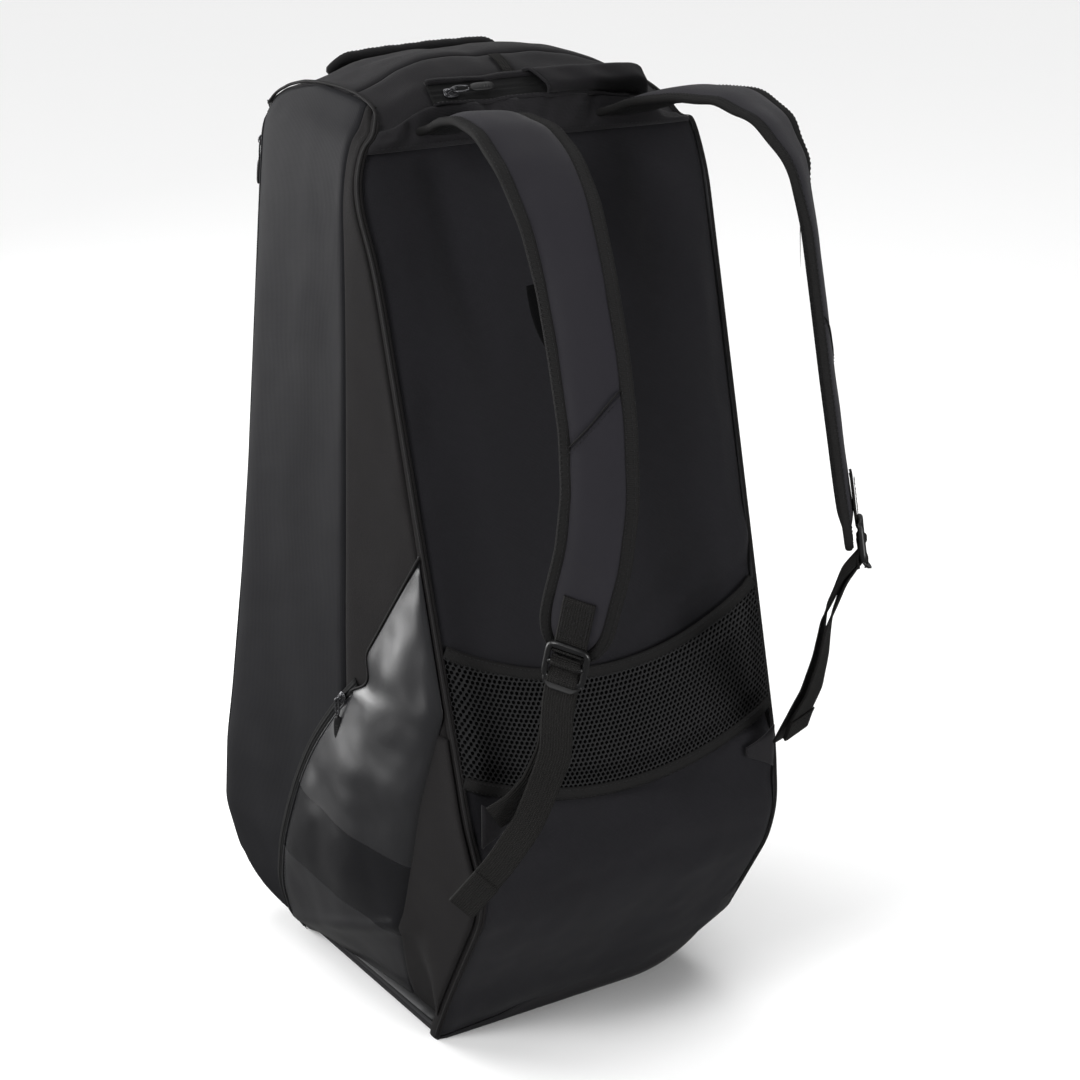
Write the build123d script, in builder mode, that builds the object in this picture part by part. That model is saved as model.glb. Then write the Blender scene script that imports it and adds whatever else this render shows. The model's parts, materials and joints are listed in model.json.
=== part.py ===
"""Racket tournament bag: a tall padded bag that stands on its wide end.

Frame: millimetres, +Z up, origin at the centre of the base on the ground, -Y is the side that
rests on the wearer's back, X is the width and the bag is symmetric about X = 0.
"""

import math
import os

from build123d import *

os.makedirs("parts", exist_ok=True)

# ---- Shell: the two vertical edges of each side face, as (height, half width, depth) ----
BACK_EDGE = [
    (0, 140, -138),
    (50, 141, -164),
    (150, 143, -222),
    (185, 145, -229),
    (235, 151, -216),
    (695, 159, -90),
    (725, 155, -82),
    (750, 147, -78),
    (772, 139, -74),
    (787, 133, -60),
]
# The front edge also carries the width of its corner facet, on which the main zip runs.
FRONT_EDGE = [
    (0, 142, 104, 12),
    (28, 166, 150, 20),
    (62, 181, 170, 24),
    (110, 189, 184, 26),
    (180, 190, 172, 26),
    (235, 188, 159, 26),
    (350, 182, 141, 26),
    (445, 175, 134, 26),
    (735, 154, 124, 26),
    (752, 150, 112, 20),
    (768, 146, 86, 12),
    (780, 142, 46, 8),
    (787, 138, -4, 5),
]
WALL_TOP = 752
BACK_WALL_TOP = 766

WALL = 6
BACK_WALL = 9
SKIN = 2.4
BODY_GAP = 1.0
LAYER_GAP = 0.4
HINGE_GAP = 9
SEAM_Y = -48
PIPING_RADIUS = 3.2
PIPING_SIDES = 8

# ---- Zips ----
TAPE_WIDTH = 9
TAPE_THICKNESS = 1.2
ZIP_GAP = 1.0
MAIN_ZIP_BOTTOM = 62
MAIN_ZIP_TOP = 752
MAIN_SLIDER_Z = 718
POCKET_APEX = (-157, 441)
POCKET_GARAGE = (-76, 330)
POCKET_ZIP_START = (-58, 296)
POCKET_ZIP_END = (44, 154)
POCKET_ZIP_RADIUS = 520
POCKET_LOW_Z = 3
TOP_ZIP_HALF = 88

# ---- Carrying system ----
STRAP_THICKNESS = 10
STRAP_HALF_WIDTH = 31
STRAP_TWIST = 52
WEBBING_END_TWIST = 12
WEBBING = 25
WEBBING_THICKNESS = 1.6
BUCKLE_LENGTH = 34
BUCKLE_WIDTH = 33
BUCKLE_THICKNESS = 4.4
BUCKLE_BAR = 4.6
# Middle line of each shoulder pad, root first; the straps hang a little differently.
STRAP_ROUTE = {
    "left": [
        (-82, -97, 756), (-83, -102, 758), (-85, -109, 760), (-89, -124, 765), (-94, -152, 770),
        (-100, -190, 766), (-101, -226, 748), (-101, -256, 718), (-101, -281, 676),
        (-101, -302, 628), (-101, -318, 578), (-102, -325, 528), (-103, -318, 478),
        (-104, -303, 436), (-104, -297, 417), (-104, -292, 400), (-104, -289, 391),
    ],
    "right": [
        (82, -97, 756), (83, -102, 758), (85, -109, 761), (89, -124, 767), (95, -158, 774),
        (100, -205, 777), (102, -245, 765), (103, -275, 738), (103, -292, 694),
        (103, -306, 642), (103, -320, 588), (103, -332, 545), (103, -342, 508),
        (103, -349, 486), (103, -353, 472), (103, -355, 463), (103, -356, 458),
    ],
}
STRAP_WIDTHS = [0.42, 0.66, 0.86, 1.0, 1.06, 1.06] + [1.0] * 7 + [0.96, 0.84, 0.66, 0.46]
# Middle line of the webbing from the buckle down to the anchor tab.
WEBBING_ROUTE = {
    "left": [
        (-104, -285, 372), (-104, -278, 345), (-106, -263, 308), (-115, -248, 277),
        (-130, -238, 257), (-140, -235, 247),
    ],
    "right": [
        (103, -346, 438), (105, -333, 422), (110, -322, 395), (117, -308, 356),
        (124, -290, 319), (134, -262, 280), (142, -239, 250),
    ],
}
# Loose end of the webbing below the buckle.
TAIL_ROUTE = {
    "left": [
        (-103, -292, 370), (-104, -287, 344), (-107, -275, 310), (-112, -264, 276),
        (-120, -256, 246), (-143, -250, 213), (-174, -244, 183),
    ],
    "right": [
        (103, -356, 432), (105, -345, 410), (110, -333, 386), (118, -317, 350),
        (126, -298, 315), (134, -276, 282), (141, -264, 248),
    ],
}
LOWER_ANCHOR = (-148, -222, 236)

GRAB_HALF = 84
GRAB_Y = 112
GRAB_PIVOT_Z = 769
GRAB_RISE = 20
GRAB_RADIUS = 5
CARRY_HALF = 95
CARRY_CENTRE_Z = 430
CARRY_STANDOFF = 42
CARRY_RADIUS = 8

CARRY_PIVOT_Y = 152

# ---- Inside ----
DIVIDER = 5
DIVIDER_TOP = 742
DIVIDER_MARGIN = 14
SHEET = 2


def between(table, z):
    """Values of a height table at height z, by straight-line interpolation."""
    for low, high in zip(table, table[1:]):
        if low[0] <= z <= high[0]:
            share = (z - low[0]) / (high[0] - low[0])
            return [a + (b - a) * share for a, b in zip(low[1:], high[1:])]
    raise ValueError(z)


def heights(bottom, top):
    """Every section height from bottom to top."""
    inner = {row[0] for row in BACK_EDGE + FRONT_EDGE if bottom < row[0] < top}
    return sorted(inner | {bottom, top})


def ring(z, inset=0.0):
    """The three corners of the left half section at height z, moved inwards by inset."""
    back_x, back_y = between(BACK_EDGE, z)
    front_x, front_y, facet = between(FRONT_EDGE, z)
    slope = math.tan(math.radians(22.5)) * inset
    rear = (-back_x + inset, back_y + inset)
    shoulder = (-front_x + inset, front_y - facet - slope)
    nose = (-front_x + facet + slope, front_y - inset)
    return rear, shoulder, nose


def along(start, end, share):
    """Point at a share of the way from start to end."""
    return tuple(a + (b - a) * share for a, b in zip(start, end))


def toward(start, end, distance):
    """Point at a distance from start towards end."""
    return along(start, end, distance / math.dist(start, end))


def side_x(y, z, inset=0.0):
    """X of the left side face at depth y and height z."""
    rear, shoulder, _ = ring(z, inset)
    return along(rear, shoulder, (y - rear[1]) / (shoulder[1] - rear[1]))[0]


def stack(levels, outline):
    """Ruled solid through one outline per level."""
    with BuildPart() as body:
        for z in levels:
            with BuildSketch(Plane.XY.offset(z)):
                with BuildLine():
                    Polyline(*outline(z), close=True)
                make_face()
        loft(ruled=True)
    return body.part


def mirrored(shape):
    """The same piece on the right side of the bag."""
    return shape.mirror(Plane.YZ)


def save(shape, name):
    """Label a finished piece and write its STEP file."""
    shape.label = name
    export_step(shape, f"parts/{name}.step")


def save_pair(shape, name):
    """Write a left piece and its mirror image."""
    save(shape, f"left_{name}")
    save(mirrored(shape), f"right_{name}")


# ---- Back of the bag ----
def back_band(outer, inner, margin):
    """Outline of a layer on the back face, from one depth to another, kept off the corners."""

    def outline(z):
        half_width, y = between(BACK_EDGE, z)
        half_width -= margin
        return [
            (-half_width, y + outer), (half_width, y + outer),
            (half_width, y + inner), (-half_width, y + inner),
        ]

    return outline


BACK_MARGIN, BAND_MARGIN, YOKE_MARGIN, STIFFENER_MARGIN = 4.2, 7.2, 9.2, 22
STIFFENER_BOTTOM, STIFFENER_TOP = 60, 740
YOKE_BOTTOM = 738

back_panel = stack(heights(0, BACK_WALL_TOP), back_band(0, BACK_WALL, BACK_MARGIN))
save(back_panel, "back_panel")

stiffener_levels = heights(STIFFENER_BOTTOM, STIFFENER_TOP)
back_stiffener = stack(stiffener_levels, back_band(BACK_WALL, BACK_WALL + SHEET, STIFFENER_MARGIN))
save(back_stiffener, "back_stiffener")

yoke_panel = stack(heights(YOKE_BOTTOM, BACK_WALL_TOP), back_band(-SKIN, 0, YOKE_MARGIN))
save(yoke_panel, "yoke_panel")

MESH_TOP_MIDDLE, MESH_TOP_END = 322, 364
MESH_LOW_MIDDLE, MESH_LOW_END = 240, 274
MESH_HALF = 150
MESH_THICKNESS = 4.5
CUT_DEPTH = 400
CUT_SPARE = 5


def smile(pad_outer, low_middle, low_end, top_middle, top_end):
    """Curved band on the back face between two upward-curving arcs."""
    levels = heights(low_middle - CUT_SPARE, top_end + CUT_SPARE)
    layer = stack(levels, back_band(-pad_outer, 0, BAND_MARGIN))
    with BuildPart() as band:
        add(layer)
        with BuildSketch(Plane.XZ):
            with BuildLine():
                lower = ThreePointArc((-MESH_HALF, low_end), (0, low_middle), (MESH_HALF, low_end))
                upper = ThreePointArc((-MESH_HALF, top_end), (0, top_middle), (MESH_HALF, top_end))
                Line(lower @ 0, upper @ 0)
                Line(lower @ 1, upper @ 1)
            make_face()
        extrude(amount=CUT_DEPTH, mode=Mode.INTERSECT)
    return band.part


lumbar_mesh_pad = smile(MESH_THICKNESS, MESH_LOW_MIDDLE, MESH_LOW_END, MESH_TOP_MIDDLE, MESH_TOP_END)
save(lumbar_mesh_pad, "lumbar_mesh_pad")

BINDING = 10
save(smile(SKIN, MESH_TOP_MIDDLE, MESH_TOP_END, MESH_TOP_MIDDLE + BINDING, MESH_TOP_END + BINDING),
     "lumbar_binding_upper")
save(smile(SKIN, MESH_LOW_MIDDLE - BINDING, MESH_LOW_END - BINDING, MESH_LOW_MIDDLE, MESH_LOW_END),
     "lumbar_binding_lower")


def tube_outline(edge_point):
    """Outline of a piping cord round a point that moves with height."""

    def outline(z):
        x, y = edge_point(z)
        turns = [2 * math.pi * k / PIPING_SIDES for k in range(PIPING_SIDES)]
        return [(x + PIPING_RADIUS * math.cos(a), y + PIPING_RADIUS * math.sin(a)) for a in turns]

    return outline


PIPING_INSET = 0.8
PIPING_BOTTOM = 4


def rear_cord(z):
    """Centre of the piping on the back corner."""
    (x, y), _, _ = ring(z, PIPING_INSET)
    return x, y


back_piping = stack(heights(PIPING_BOTTOM, BACK_WALL_TOP), tube_outline(rear_cord))
save_pair(back_piping, "back_piping")


# ---- Front, top and base ----
def front_outline(z):
    """Front wall with both corner facets up to the zip line."""
    _, shoulder, nose = ring(z)
    _, inner_shoulder, inner_nose = ring(z, WALL)
    outer = toward(along(shoulder, nose, 0.5), nose, ZIP_GAP / 2)
    inner = toward(along(inner_shoulder, inner_nose, 0.5), inner_nose, ZIP_GAP / 2)
    left = [outer, nose, inner_nose, inner]
    right = [(-x, y) for x, y in left]
    return [left[0], left[1], right[1], right[0], right[3], right[2], left[2], left[3]]


front_panel = stack(heights(0, WALL_TOP), front_outline)
save(front_panel, "front_panel")


LINER_MARGIN = 3
LINER_BOTTOM, LINER_TOP = 30, 735


def liner_outline(z):
    """Insulating liner just inside the front wall."""
    _, _, nose = ring(z, WALL)
    edge = nose[0] + LINER_MARGIN
    return [(edge, nose[1]), (-edge, nose[1]), (-edge, nose[1] - SHEET), (edge, nose[1] - SHEET)]


save(stack(heights(LINER_BOTTOM, LINER_TOP), liner_outline), "thermal_liner")

# The crown runs from the back wall over the top to the front wall.
CROWN = [(-74, 767), (-60, 782), (-30, 787), (-4, 787), (46, 780), (86, 768), (111, 753)]
CROWN_HALF = 124
CROWN_INNER_SHARE = 0.96
CROWN_FRONT_WALL = 8

with BuildPart() as top_panel:
    with BuildSketch(Plane.YZ):
        with BuildLine():
            inner_crown = [(y * CROWN_INNER_SHARE, z - WALL) for y, z in reversed(CROWN[1:-1])]
            first, last = CROWN[0], CROWN[-1]
            Polyline(*CROWN, (last[0] - CROWN_FRONT_WALL, last[1]), *inner_crown,
                     (first[0] + WALL, first[1]), close=True)
        make_face()
    extrude(amount=CROWN_HALF, both=True)
save(top_panel.part, "top_panel")

BASE_THICKNESS = 5
BOARD_THICKNESS, BOARD_MARGIN = 3, 12


def base_outline(inset):
    """Inside footprint of the walls near the ground."""

    def outline(z):
        rear, shoulder, nose = ring(z, WALL + inset)
        left = [(rear[0], rear[1] + BACK_WALL - WALL), shoulder, nose]
        return left + [(-x, y) for x, y in reversed(left)]

    return outline


base_panel = stack([0, BASE_THICKNESS], base_outline(BODY_GAP))
save(base_panel, "base_panel")
board_top = BASE_THICKNESS + BOARD_THICKNESS
base_board = stack([BASE_THICKNESS, board_top], base_outline(BOARD_MARGIN))
save(base_board, "base_board")


# ---- Divider between the two racket compartments, with its organiser pocket ----
def divider_middle(z):
    """Depth of the divider's middle plane."""
    _, back_y = between(BACK_EDGE, z)
    _, front_y, _ = between(FRONT_EDGE, z)
    return (back_y + front_y) / 2


def divider_outline(z):
    """Padded divider that spans the bag between the side walls."""
    middle = divider_middle(z)
    half_width = -side_x(middle, z) - DIVIDER_MARGIN
    return [
        (-half_width, middle - DIVIDER / 2), (half_width, middle - DIVIDER / 2),
        (half_width, middle + DIVIDER / 2), (-half_width, middle + DIVIDER / 2),
    ]


save(stack(heights(board_top + LAYER_GAP, DIVIDER_TOP), divider_outline), "centre_divider")

ORGANISER_HALF = 105
ORGANISER_BOTTOM, ORGANISER_TOP = 400, 620
ORGANISER_THICKNESS = 4


def organiser_outline(z):
    """Flat zipped pouch on the divider's rear face."""
    near = divider_middle(z) - DIVIDER / 2
    far = near - ORGANISER_THICKNESS
    return [(-ORGANISER_HALF, far), (ORGANISER_HALF, far), (ORGANISER_HALF, near), (-ORGANISER_HALF, near)]


save(stack(heights(ORGANISER_BOTTOM, ORGANISER_TOP), organiser_outline), "divider_pouch")


# ---- Side faces ----
def hinge_edge(z, inset):
    """Rear edge of the opening side face at an inset from the outside."""
    rear, shoulder, _ = ring(z, inset)
    return toward(rear, shoulder, HINGE_GAP)


def seam_point(z, inset):
    """Where the seam between the two side fabrics crosses height z."""
    return side_x(SEAM_Y, z, inset), SEAM_Y


def gusset_outline(z):
    """Plain rear strip of the side face."""
    return [hinge_edge(z, 0), seam_point(z, 0), seam_point(z, WALL), hinge_edge(z, WALL)]


def zip_edge(z, inset):
    """Front edge of the side face on the corner facet."""
    _, shoulder, nose = ring(z, inset)
    return toward(along(shoulder, nose, 0.5), shoulder, ZIP_GAP / 2)


def ripstop_outline(z):
    """Ribbed front part of the side face, round on to the corner facet."""
    _, shoulder, _ = ring(z)
    _, inner_shoulder, _ = ring(z, WALL)
    outer = [seam_point(z, 0), shoulder, zip_edge(z, 0)]
    return outer + [zip_edge(z, WALL), inner_shoulder, seam_point(z, WALL)]


SIDE_TOP = 783
save_pair(stack(heights(0, SIDE_TOP), gusset_outline), "side_gusset")
save_pair(stack(heights(0, SIDE_TOP), ripstop_outline), "side_panel")


def overlay_outline(inner, outer, rear_margin):
    """Outline of a layer on the outside of the side face."""

    def outline(z):
        low_rear, low_shoulder, _ = ring(z, -outer)
        high_rear, high_shoulder, _ = ring(z, -inner)
        far_rear = toward(low_rear, low_shoulder, rear_margin)
        near_rear = toward(high_rear, high_shoulder, rear_margin)
        return [far_rear, low_shoulder, high_shoulder, near_rear]

    return outline


def pocket_zip_centre():
    """Centre of the pocket zip's arc in the YZ plane."""
    start, end = Vector(*POCKET_ZIP_START), Vector(*POCKET_ZIP_END)
    middle = (start + end) / 2
    half_chord = (end - start).length / 2
    drop = math.sqrt(POCKET_ZIP_RADIUS**2 - half_chord**2)
    inward = (end - start).normalized().rotate(Axis.Z, -90)
    return middle + inward * drop


def on_pocket_arc(radius, angle):
    """Point in the YZ plane on an arc round the pocket zip's centre."""
    centre = pocket_zip_centre()
    turn = math.radians(angle)
    return centre.X + radius * math.cos(turn), centre.Y + radius * math.sin(turn)


def pocket_angle(z):
    """Angle of the pocket zip at height z."""
    return math.degrees(math.asin((z - pocket_zip_centre().Y) / POCKET_ZIP_RADIUS))


pocket_levels = heights(POCKET_LOW_Z, POCKET_APEX[1] + CUT_SPARE)
pocket_layer = stack(pocket_levels, overlay_outline(LAYER_GAP, SKIN, HINGE_GAP))
zip_top_angle = pocket_angle(POCKET_ZIP_START[1])
zip_low_angle = pocket_angle(POCKET_LOW_Z - CUT_SPARE)
PANEL_BACK_Y = -260

with BuildPart() as pocket_panel:
    add(pocket_layer)
    with BuildSketch(Plane.YZ):
        with BuildLine():
            edge_radius = POCKET_ZIP_RADIUS - TAPE_WIDTH / 2 - ZIP_GAP
            zip_edge_arc = ThreePointArc(
                on_pocket_arc(edge_radius, zip_top_angle),
                on_pocket_arc(edge_radius, (zip_top_angle + zip_low_angle) / 2),
                on_pocket_arc(edge_radius, zip_low_angle),
            )
            Polyline(zip_edge_arc @ 1, (PANEL_BACK_Y, POCKET_LOW_Z - CUT_SPARE),
                     (PANEL_BACK_Y, POCKET_APEX[1]), POCKET_APEX, POCKET_GARAGE, zip_edge_arc @ 0)
        make_face()
    extrude(amount=-CUT_DEPTH, mode=Mode.INTERSECT)
save_pair(pocket_panel.part, "pocket_panel")

TAPE_REAR_MARGIN = 40
tape_heights = heights(POCKET_LOW_Z, POCKET_ZIP_START[1] + CUT_SPARE)
tape_layer = stack(tape_heights, overlay_outline(LAYER_GAP, TAPE_THICKNESS, TAPE_REAR_MARGIN))
with BuildPart() as pocket_zip_tape:
    add(tape_layer)
    with BuildSketch(Plane.YZ):
        with BuildLine():
            tape_in = POCKET_ZIP_RADIUS - TAPE_WIDTH / 2
            tape_out = POCKET_ZIP_RADIUS + TAPE_WIDTH / 2
            middle_angle = (zip_top_angle + zip_low_angle) / 2
            inner_arc = ThreePointArc(*[on_pocket_arc(tape_in, a)
                                        for a in (zip_top_angle, middle_angle, zip_low_angle)])
            outer_arc = ThreePointArc(*[on_pocket_arc(tape_out, a)
                                        for a in (zip_top_angle, middle_angle, zip_low_angle)])
            Line(inner_arc @ 0, outer_arc @ 0)
            Line(inner_arc @ 1, outer_arc @ 1)
        make_face()
    extrude(amount=-CUT_DEPTH, mode=Mode.INTERSECT)
save_pair(pocket_zip_tape.part, "pocket_zip_tape")


# ---- Main zips on the corner facets: one tape on the side face, one on the front wall ----
def facet_tape(near, far):
    """Outline of a tape on the corner facet between two distances from the zip line."""

    def outline(z):
        _, shoulder, nose = ring(z)
        _, high_shoulder, high_nose = ring(z, -TAPE_THICKNESS)
        low_middle, high_middle = along(shoulder, nose, 0.5), along(high_shoulder, high_nose, 0.5)
        target, high_target = (nose, high_nose) if far > 0 else (shoulder, high_shoulder)
        return [
            toward(low_middle, target, abs(near)), toward(low_middle, target, abs(far)),
            toward(high_middle, high_target, abs(far)), toward(high_middle, high_target, abs(near)),
        ]

    return outline


tape_levels = heights(MAIN_ZIP_BOTTOM, MAIN_ZIP_TOP)
save_pair(stack(tape_levels, facet_tape(ZIP_GAP / 2, TAPE_WIDTH)), "front_zip_tape")
save_pair(stack(tape_levels, facet_tape(-ZIP_GAP / 2, -TAPE_WIDTH)), "side_zip_tape")

# The top zip lies on the crown's steep rear facet.
facet_low, facet_high = Vector(0, *CROWN[0]), Vector(0, *CROWN[1])
top_up = (facet_high - facet_low).normalized()
top_out = Vector(1, 0, 0).cross(top_up).normalized()
if top_out.Y > 0:
    top_out = top_out * -1
top_zip_middle = (facet_low + facet_high) / 2 + top_out * LAYER_GAP

with BuildPart() as top_zip_tape:
    with BuildSketch(Plane(origin=top_zip_middle, x_dir=(1, 0, 0), z_dir=top_out)):
        Rectangle(2 * TOP_ZIP_HALF, 2 * TAPE_WIDTH)
    extrude(amount=TAPE_THICKNESS)
save(top_zip_tape.part, "top_zip_tape")

# ---- Zip sliders and pullers, all made in one local frame: x along the zip, z outwards ----
SLIDER_LENGTH, SLIDER_WIDTH, SLIDER_BASE = 13, 8.4, 2.2
PIN_HEIGHT, PIN_RADIUS, EYE_RADIUS, EYE_WALL = 5.4, 0.9, 1.15, 1.1
POST_WIDTH, POST_LENGTH, PIN_SPAN = 1.4, 4, 7
SLIDER_CORNER, TAB_CORNER, NECK_LAP = 1.6, 1.7, 1
SLIDER_LIFT = 0.5
NECK_LENGTH, NECK_WIDTH, NECK_THICKNESS = 11, 4, 2
TAB_LENGTH, TAB_WIDTH, TAB_THICKNESS = 27, 8, 3.6


def slider(frame, pin_frame):
    """Slider body along the zip, with two posts that hold the puller's pin."""
    with BuildPart(frame) as base:
        Box(SLIDER_LENGTH, SLIDER_WIDTH, SLIDER_BASE, align=(Align.CENTER, Align.CENTER, Align.MIN))
        fillet(base.edges().filter_by(Axis(frame.origin, frame.z_dir)), SLIDER_CORNER)
    with BuildPart(pin_frame) as posts:
        for side in (-1, 1):
            with Locations((0, side * (PIN_SPAN - POST_WIDTH) / 2, SLIDER_BASE)):
                Box(POST_LENGTH, POST_WIDTH, PIN_HEIGHT + PIN_RADIUS - SLIDER_BASE,
                    align=(Align.CENTER, Align.CENTER, Align.MIN))
        with Locations((0, 0, PIN_HEIGHT)):
            Cylinder(PIN_RADIUS, PIN_SPAN, rotation=(90, 0, 0))
    with BuildPart() as body:
        add(base.part)
        add(posts.part)
    return body.part


def puller(frame):
    """Cord neck with an eye round the slider's pin and a moulded finger tab."""
    with BuildPart(frame) as body:
        with Locations((0, 0, PIN_HEIGHT)):
            Cylinder(EYE_RADIUS + EYE_WALL, NECK_WIDTH, rotation=(90, 0, 0))
        with Locations((NECK_LENGTH / 2, 0, PIN_HEIGHT)):
            Box(NECK_LENGTH, NECK_WIDTH, NECK_THICKNESS)
        with Locations((NECK_LENGTH + TAB_LENGTH / 2 - NECK_LAP, 0, PIN_HEIGHT)):
            Box(TAB_LENGTH, TAB_WIDTH, TAB_THICKNESS)
        corners = body.edges().filter_by(Axis(frame.origin, frame.z_dir)).group_by(SortBy.LENGTH)[-1]
        fillet(corners, TAB_CORNER)
        with Locations((0, 0, PIN_HEIGHT)):
            Cylinder(EYE_RADIUS, NECK_WIDTH, rotation=(90, 0, 0), mode=Mode.SUBTRACT)
    return body.part


def facet_point(z, out):
    """Point on the zip line of the left corner facet, a distance outside it."""
    _, shoulder, nose = ring(z, -out)
    x, y = along(shoulder, nose, 0.5)
    return Vector(x, y, z)


SLIDER_CLEARANCE = TAPE_THICKNESS + SLIDER_LIFT
SLIDER_OFFSET = SLIDER_WIDTH / 2 + ZIP_GAP / 2 + LAYER_GAP
STRAIGHT_LOW, STRAIGHT_HIGH = FRONT_EDGE[7][0], FRONT_EDGE[8][0]
main_start = facet_point(MAIN_SLIDER_Z, SLIDER_CLEARANCE)
straight_top, straight_end = (facet_point(z, SLIDER_CLEARANCE) for z in (STRAIGHT_HIGH, STRAIGHT_LOW))
main_down = (straight_end - straight_top).normalized()
facet_across = Vector(1, 1, 0).normalized()
facet_out = facet_across.cross(main_down).normalized()
if facet_out.X > 0:
    facet_out = facet_out * -1
main_frame = Plane(origin=main_start + facet_across * SLIDER_OFFSET, x_dir=main_down, z_dir=facet_out)
save_pair(slider(main_frame, main_frame), "main_slider")
save_pair(puller(main_frame), "main_puller")

pocket_centre = pocket_zip_centre()


def on_side(point, out):
    """A YZ point placed on the left side face, a distance outside it."""
    return Vector(side_x(point[0], point[1]) - out, point[0], point[1])


POCKET_SLIDER_OUT = TAPE_THICKNESS + 2.6
POCKET_SLIDER_Z = 288
pocket_start = on_side(on_pocket_arc(POCKET_ZIP_RADIUS, pocket_angle(POCKET_SLIDER_Z)), POCKET_SLIDER_OUT)
pocket_end = on_side(POCKET_ZIP_END, POCKET_SLIDER_OUT)
mid_zip_z = (POCKET_ZIP_START[1] + POCKET_ZIP_END[1]) / 2
side_along = on_side((POCKET_ZIP_END[0], mid_zip_z), 0) - on_side((POCKET_ZIP_START[0], mid_zip_z), 0)
pocket_travel = (pocket_end - pocket_start).normalized()
pocket_out = side_along.cross(pocket_travel).normalized()
if pocket_out.X > 0:
    pocket_out = pocket_out * -1
radial = Vector(0, pocket_start.Y - pocket_centre.X, pocket_start.Z - pocket_centre.Y).normalized()
pocket_down = radial.cross(pocket_out).normalized()
if pocket_down.Z > 0:
    pocket_down = pocket_down * -1
pocket_frame = Plane(origin=pocket_start, x_dir=pocket_down, z_dir=pocket_out)
hang_down = (Vector(0, 0, -1) - pocket_out * pocket_out.dot(Vector(0, 0, -1))).normalized()
hang_frame = Plane(origin=pocket_start, x_dir=hang_down, z_dir=pocket_out)
save_pair(slider(pocket_frame, hang_frame), "pocket_slider")
save_pair(puller(hang_frame), "pocket_puller")

TOP_SLIDER_X = -72
top_frame = Plane(
    origin=top_zip_middle + Vector(TOP_SLIDER_X, 0, 0) + top_out * SLIDER_CLEARANCE,
    x_dir=(1, 0, 0),
    z_dir=top_out,
)
save(slider(top_frame, top_frame), "top_slider")
save(puller(top_frame), "top_puller")


# ---- Shoulder straps ----
def ribbon(route, widths, thicknesses, facing):
    """Ruled strip along a route; facing gives the width direction at each point."""
    points = [Vector(*p) for p in route]
    with BuildPart() as strip:
        for k, point in enumerate(points):
            before, after = points[max(k - 1, 0)], points[min(k + 1, len(points) - 1)]
            tangent = (after - before).normalized()
            across = facing[k]
            across = (across - tangent * across.dot(tangent)).normalized()
            with BuildSketch(Plane(origin=point, x_dir=across, z_dir=tangent)):
                Rectangle(widths[k], thicknesses[k])
        loft(ruled=True)
    return strip.part


def width_direction(side, degrees):
    """Width direction of a strap that has turned outwards by an angle."""
    sign = -1 if side == "left" else 1
    turn = math.radians(degrees)
    return Vector(math.cos(turn), sign * math.sin(turn), 0)


def ramp(k, first, last, low, high):
    """Value that climbs from low to high between two indices."""
    share = min(max((k - first) / (last - first), 0), 1)
    return low + (high - low) * share


def shoulder_pad(side):
    """Padded part of a shoulder strap."""
    route = STRAP_ROUTE[side]
    widths = [2 * STRAP_HALF_WIDTH * share for share in STRAP_WIDTHS]
    thicknesses = [STRAP_THICKNESS] * len(route)
    facing = [width_direction(side, ramp(k, 2, 8, 0, STRAP_TWIST)) for k in range(len(route))]
    return ribbon(route, widths, thicknesses, facing)


def pad_frame(side):
    """Plane on the outer face at the lower end of a shoulder pad, x across and y up."""
    route = [Vector(*p) for p in STRAP_ROUTE[side]]
    upward = (route[-4] - route[-1]).normalized()
    across = width_direction(side, STRAP_TWIST)
    across = (across - upward * across.dot(upward)).normalized()
    outward = across.cross(upward)
    if outward.Y > 0:
        outward = outward * -1
        across = across * -1
    return Plane(origin=route[-1] + outward * (STRAP_THICKNESS / 2), x_dir=across, z_dir=outward)


TAB_UP, TAB_DOWN, TAB_THICK, TAB_LIFT = 58, 6, 1.8, 0.8
BUCKLE_CENTRE_UP = -6
BUCKLE_STAND = 3
BUCKLE_CORNER = 3
WINDOW_SPARE = 1.6


def strap_tab(side):
    """Doubled webbing tab that holds the buckle to the pad."""
    frame = pad_frame(side)
    with BuildPart(frame) as tab:
        with Locations((0, (TAB_UP + TAB_DOWN) / 2, TAB_LIFT)):
            Box(WEBBING, TAB_UP - TAB_DOWN, TAB_THICK, align=(Align.CENTER, Align.CENTER, Align.MIN))
    return tab.part


def ladder_buckle(side):
    """Ladder-lock buckle: a frame with two windows and a raised lip."""
    frame = pad_frame(side)
    window = (BUCKLE_LENGTH - 3 * BUCKLE_BAR) / 2
    with BuildPart(frame) as buckle:
        with Locations((0, BUCKLE_CENTRE_UP, BUCKLE_STAND)):
            Box(BUCKLE_WIDTH, BUCKLE_LENGTH, BUCKLE_THICKNESS,
                align=(Align.CENTER, Align.CENTER, Align.MIN))
        fillet(buckle.edges().filter_by(Axis(frame.origin, frame.z_dir)), BUCKLE_CORNER)
        for step in (-1, 1):
            with Locations((0, BUCKLE_CENTRE_UP + step * (window + BUCKLE_BAR) / 2, BUCKLE_STAND)):
                Box(WEBBING + WINDOW_SPARE, window, BUCKLE_THICKNESS,
                    align=(Align.CENTER, Align.CENTER, Align.MIN), mode=Mode.SUBTRACT)
    return buckle.part


def webbing_strip(side, route):
    """Flat webbing along a route, facing the same way as the buckle."""
    count = len(route)
    facing = [width_direction(side, ramp(k, 1, count - 2, STRAP_TWIST, WEBBING_END_TWIST))
              for k in range(count)]
    return ribbon(route, [WEBBING] * count, [WEBBING_THICKNESS] * count, facing)


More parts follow.
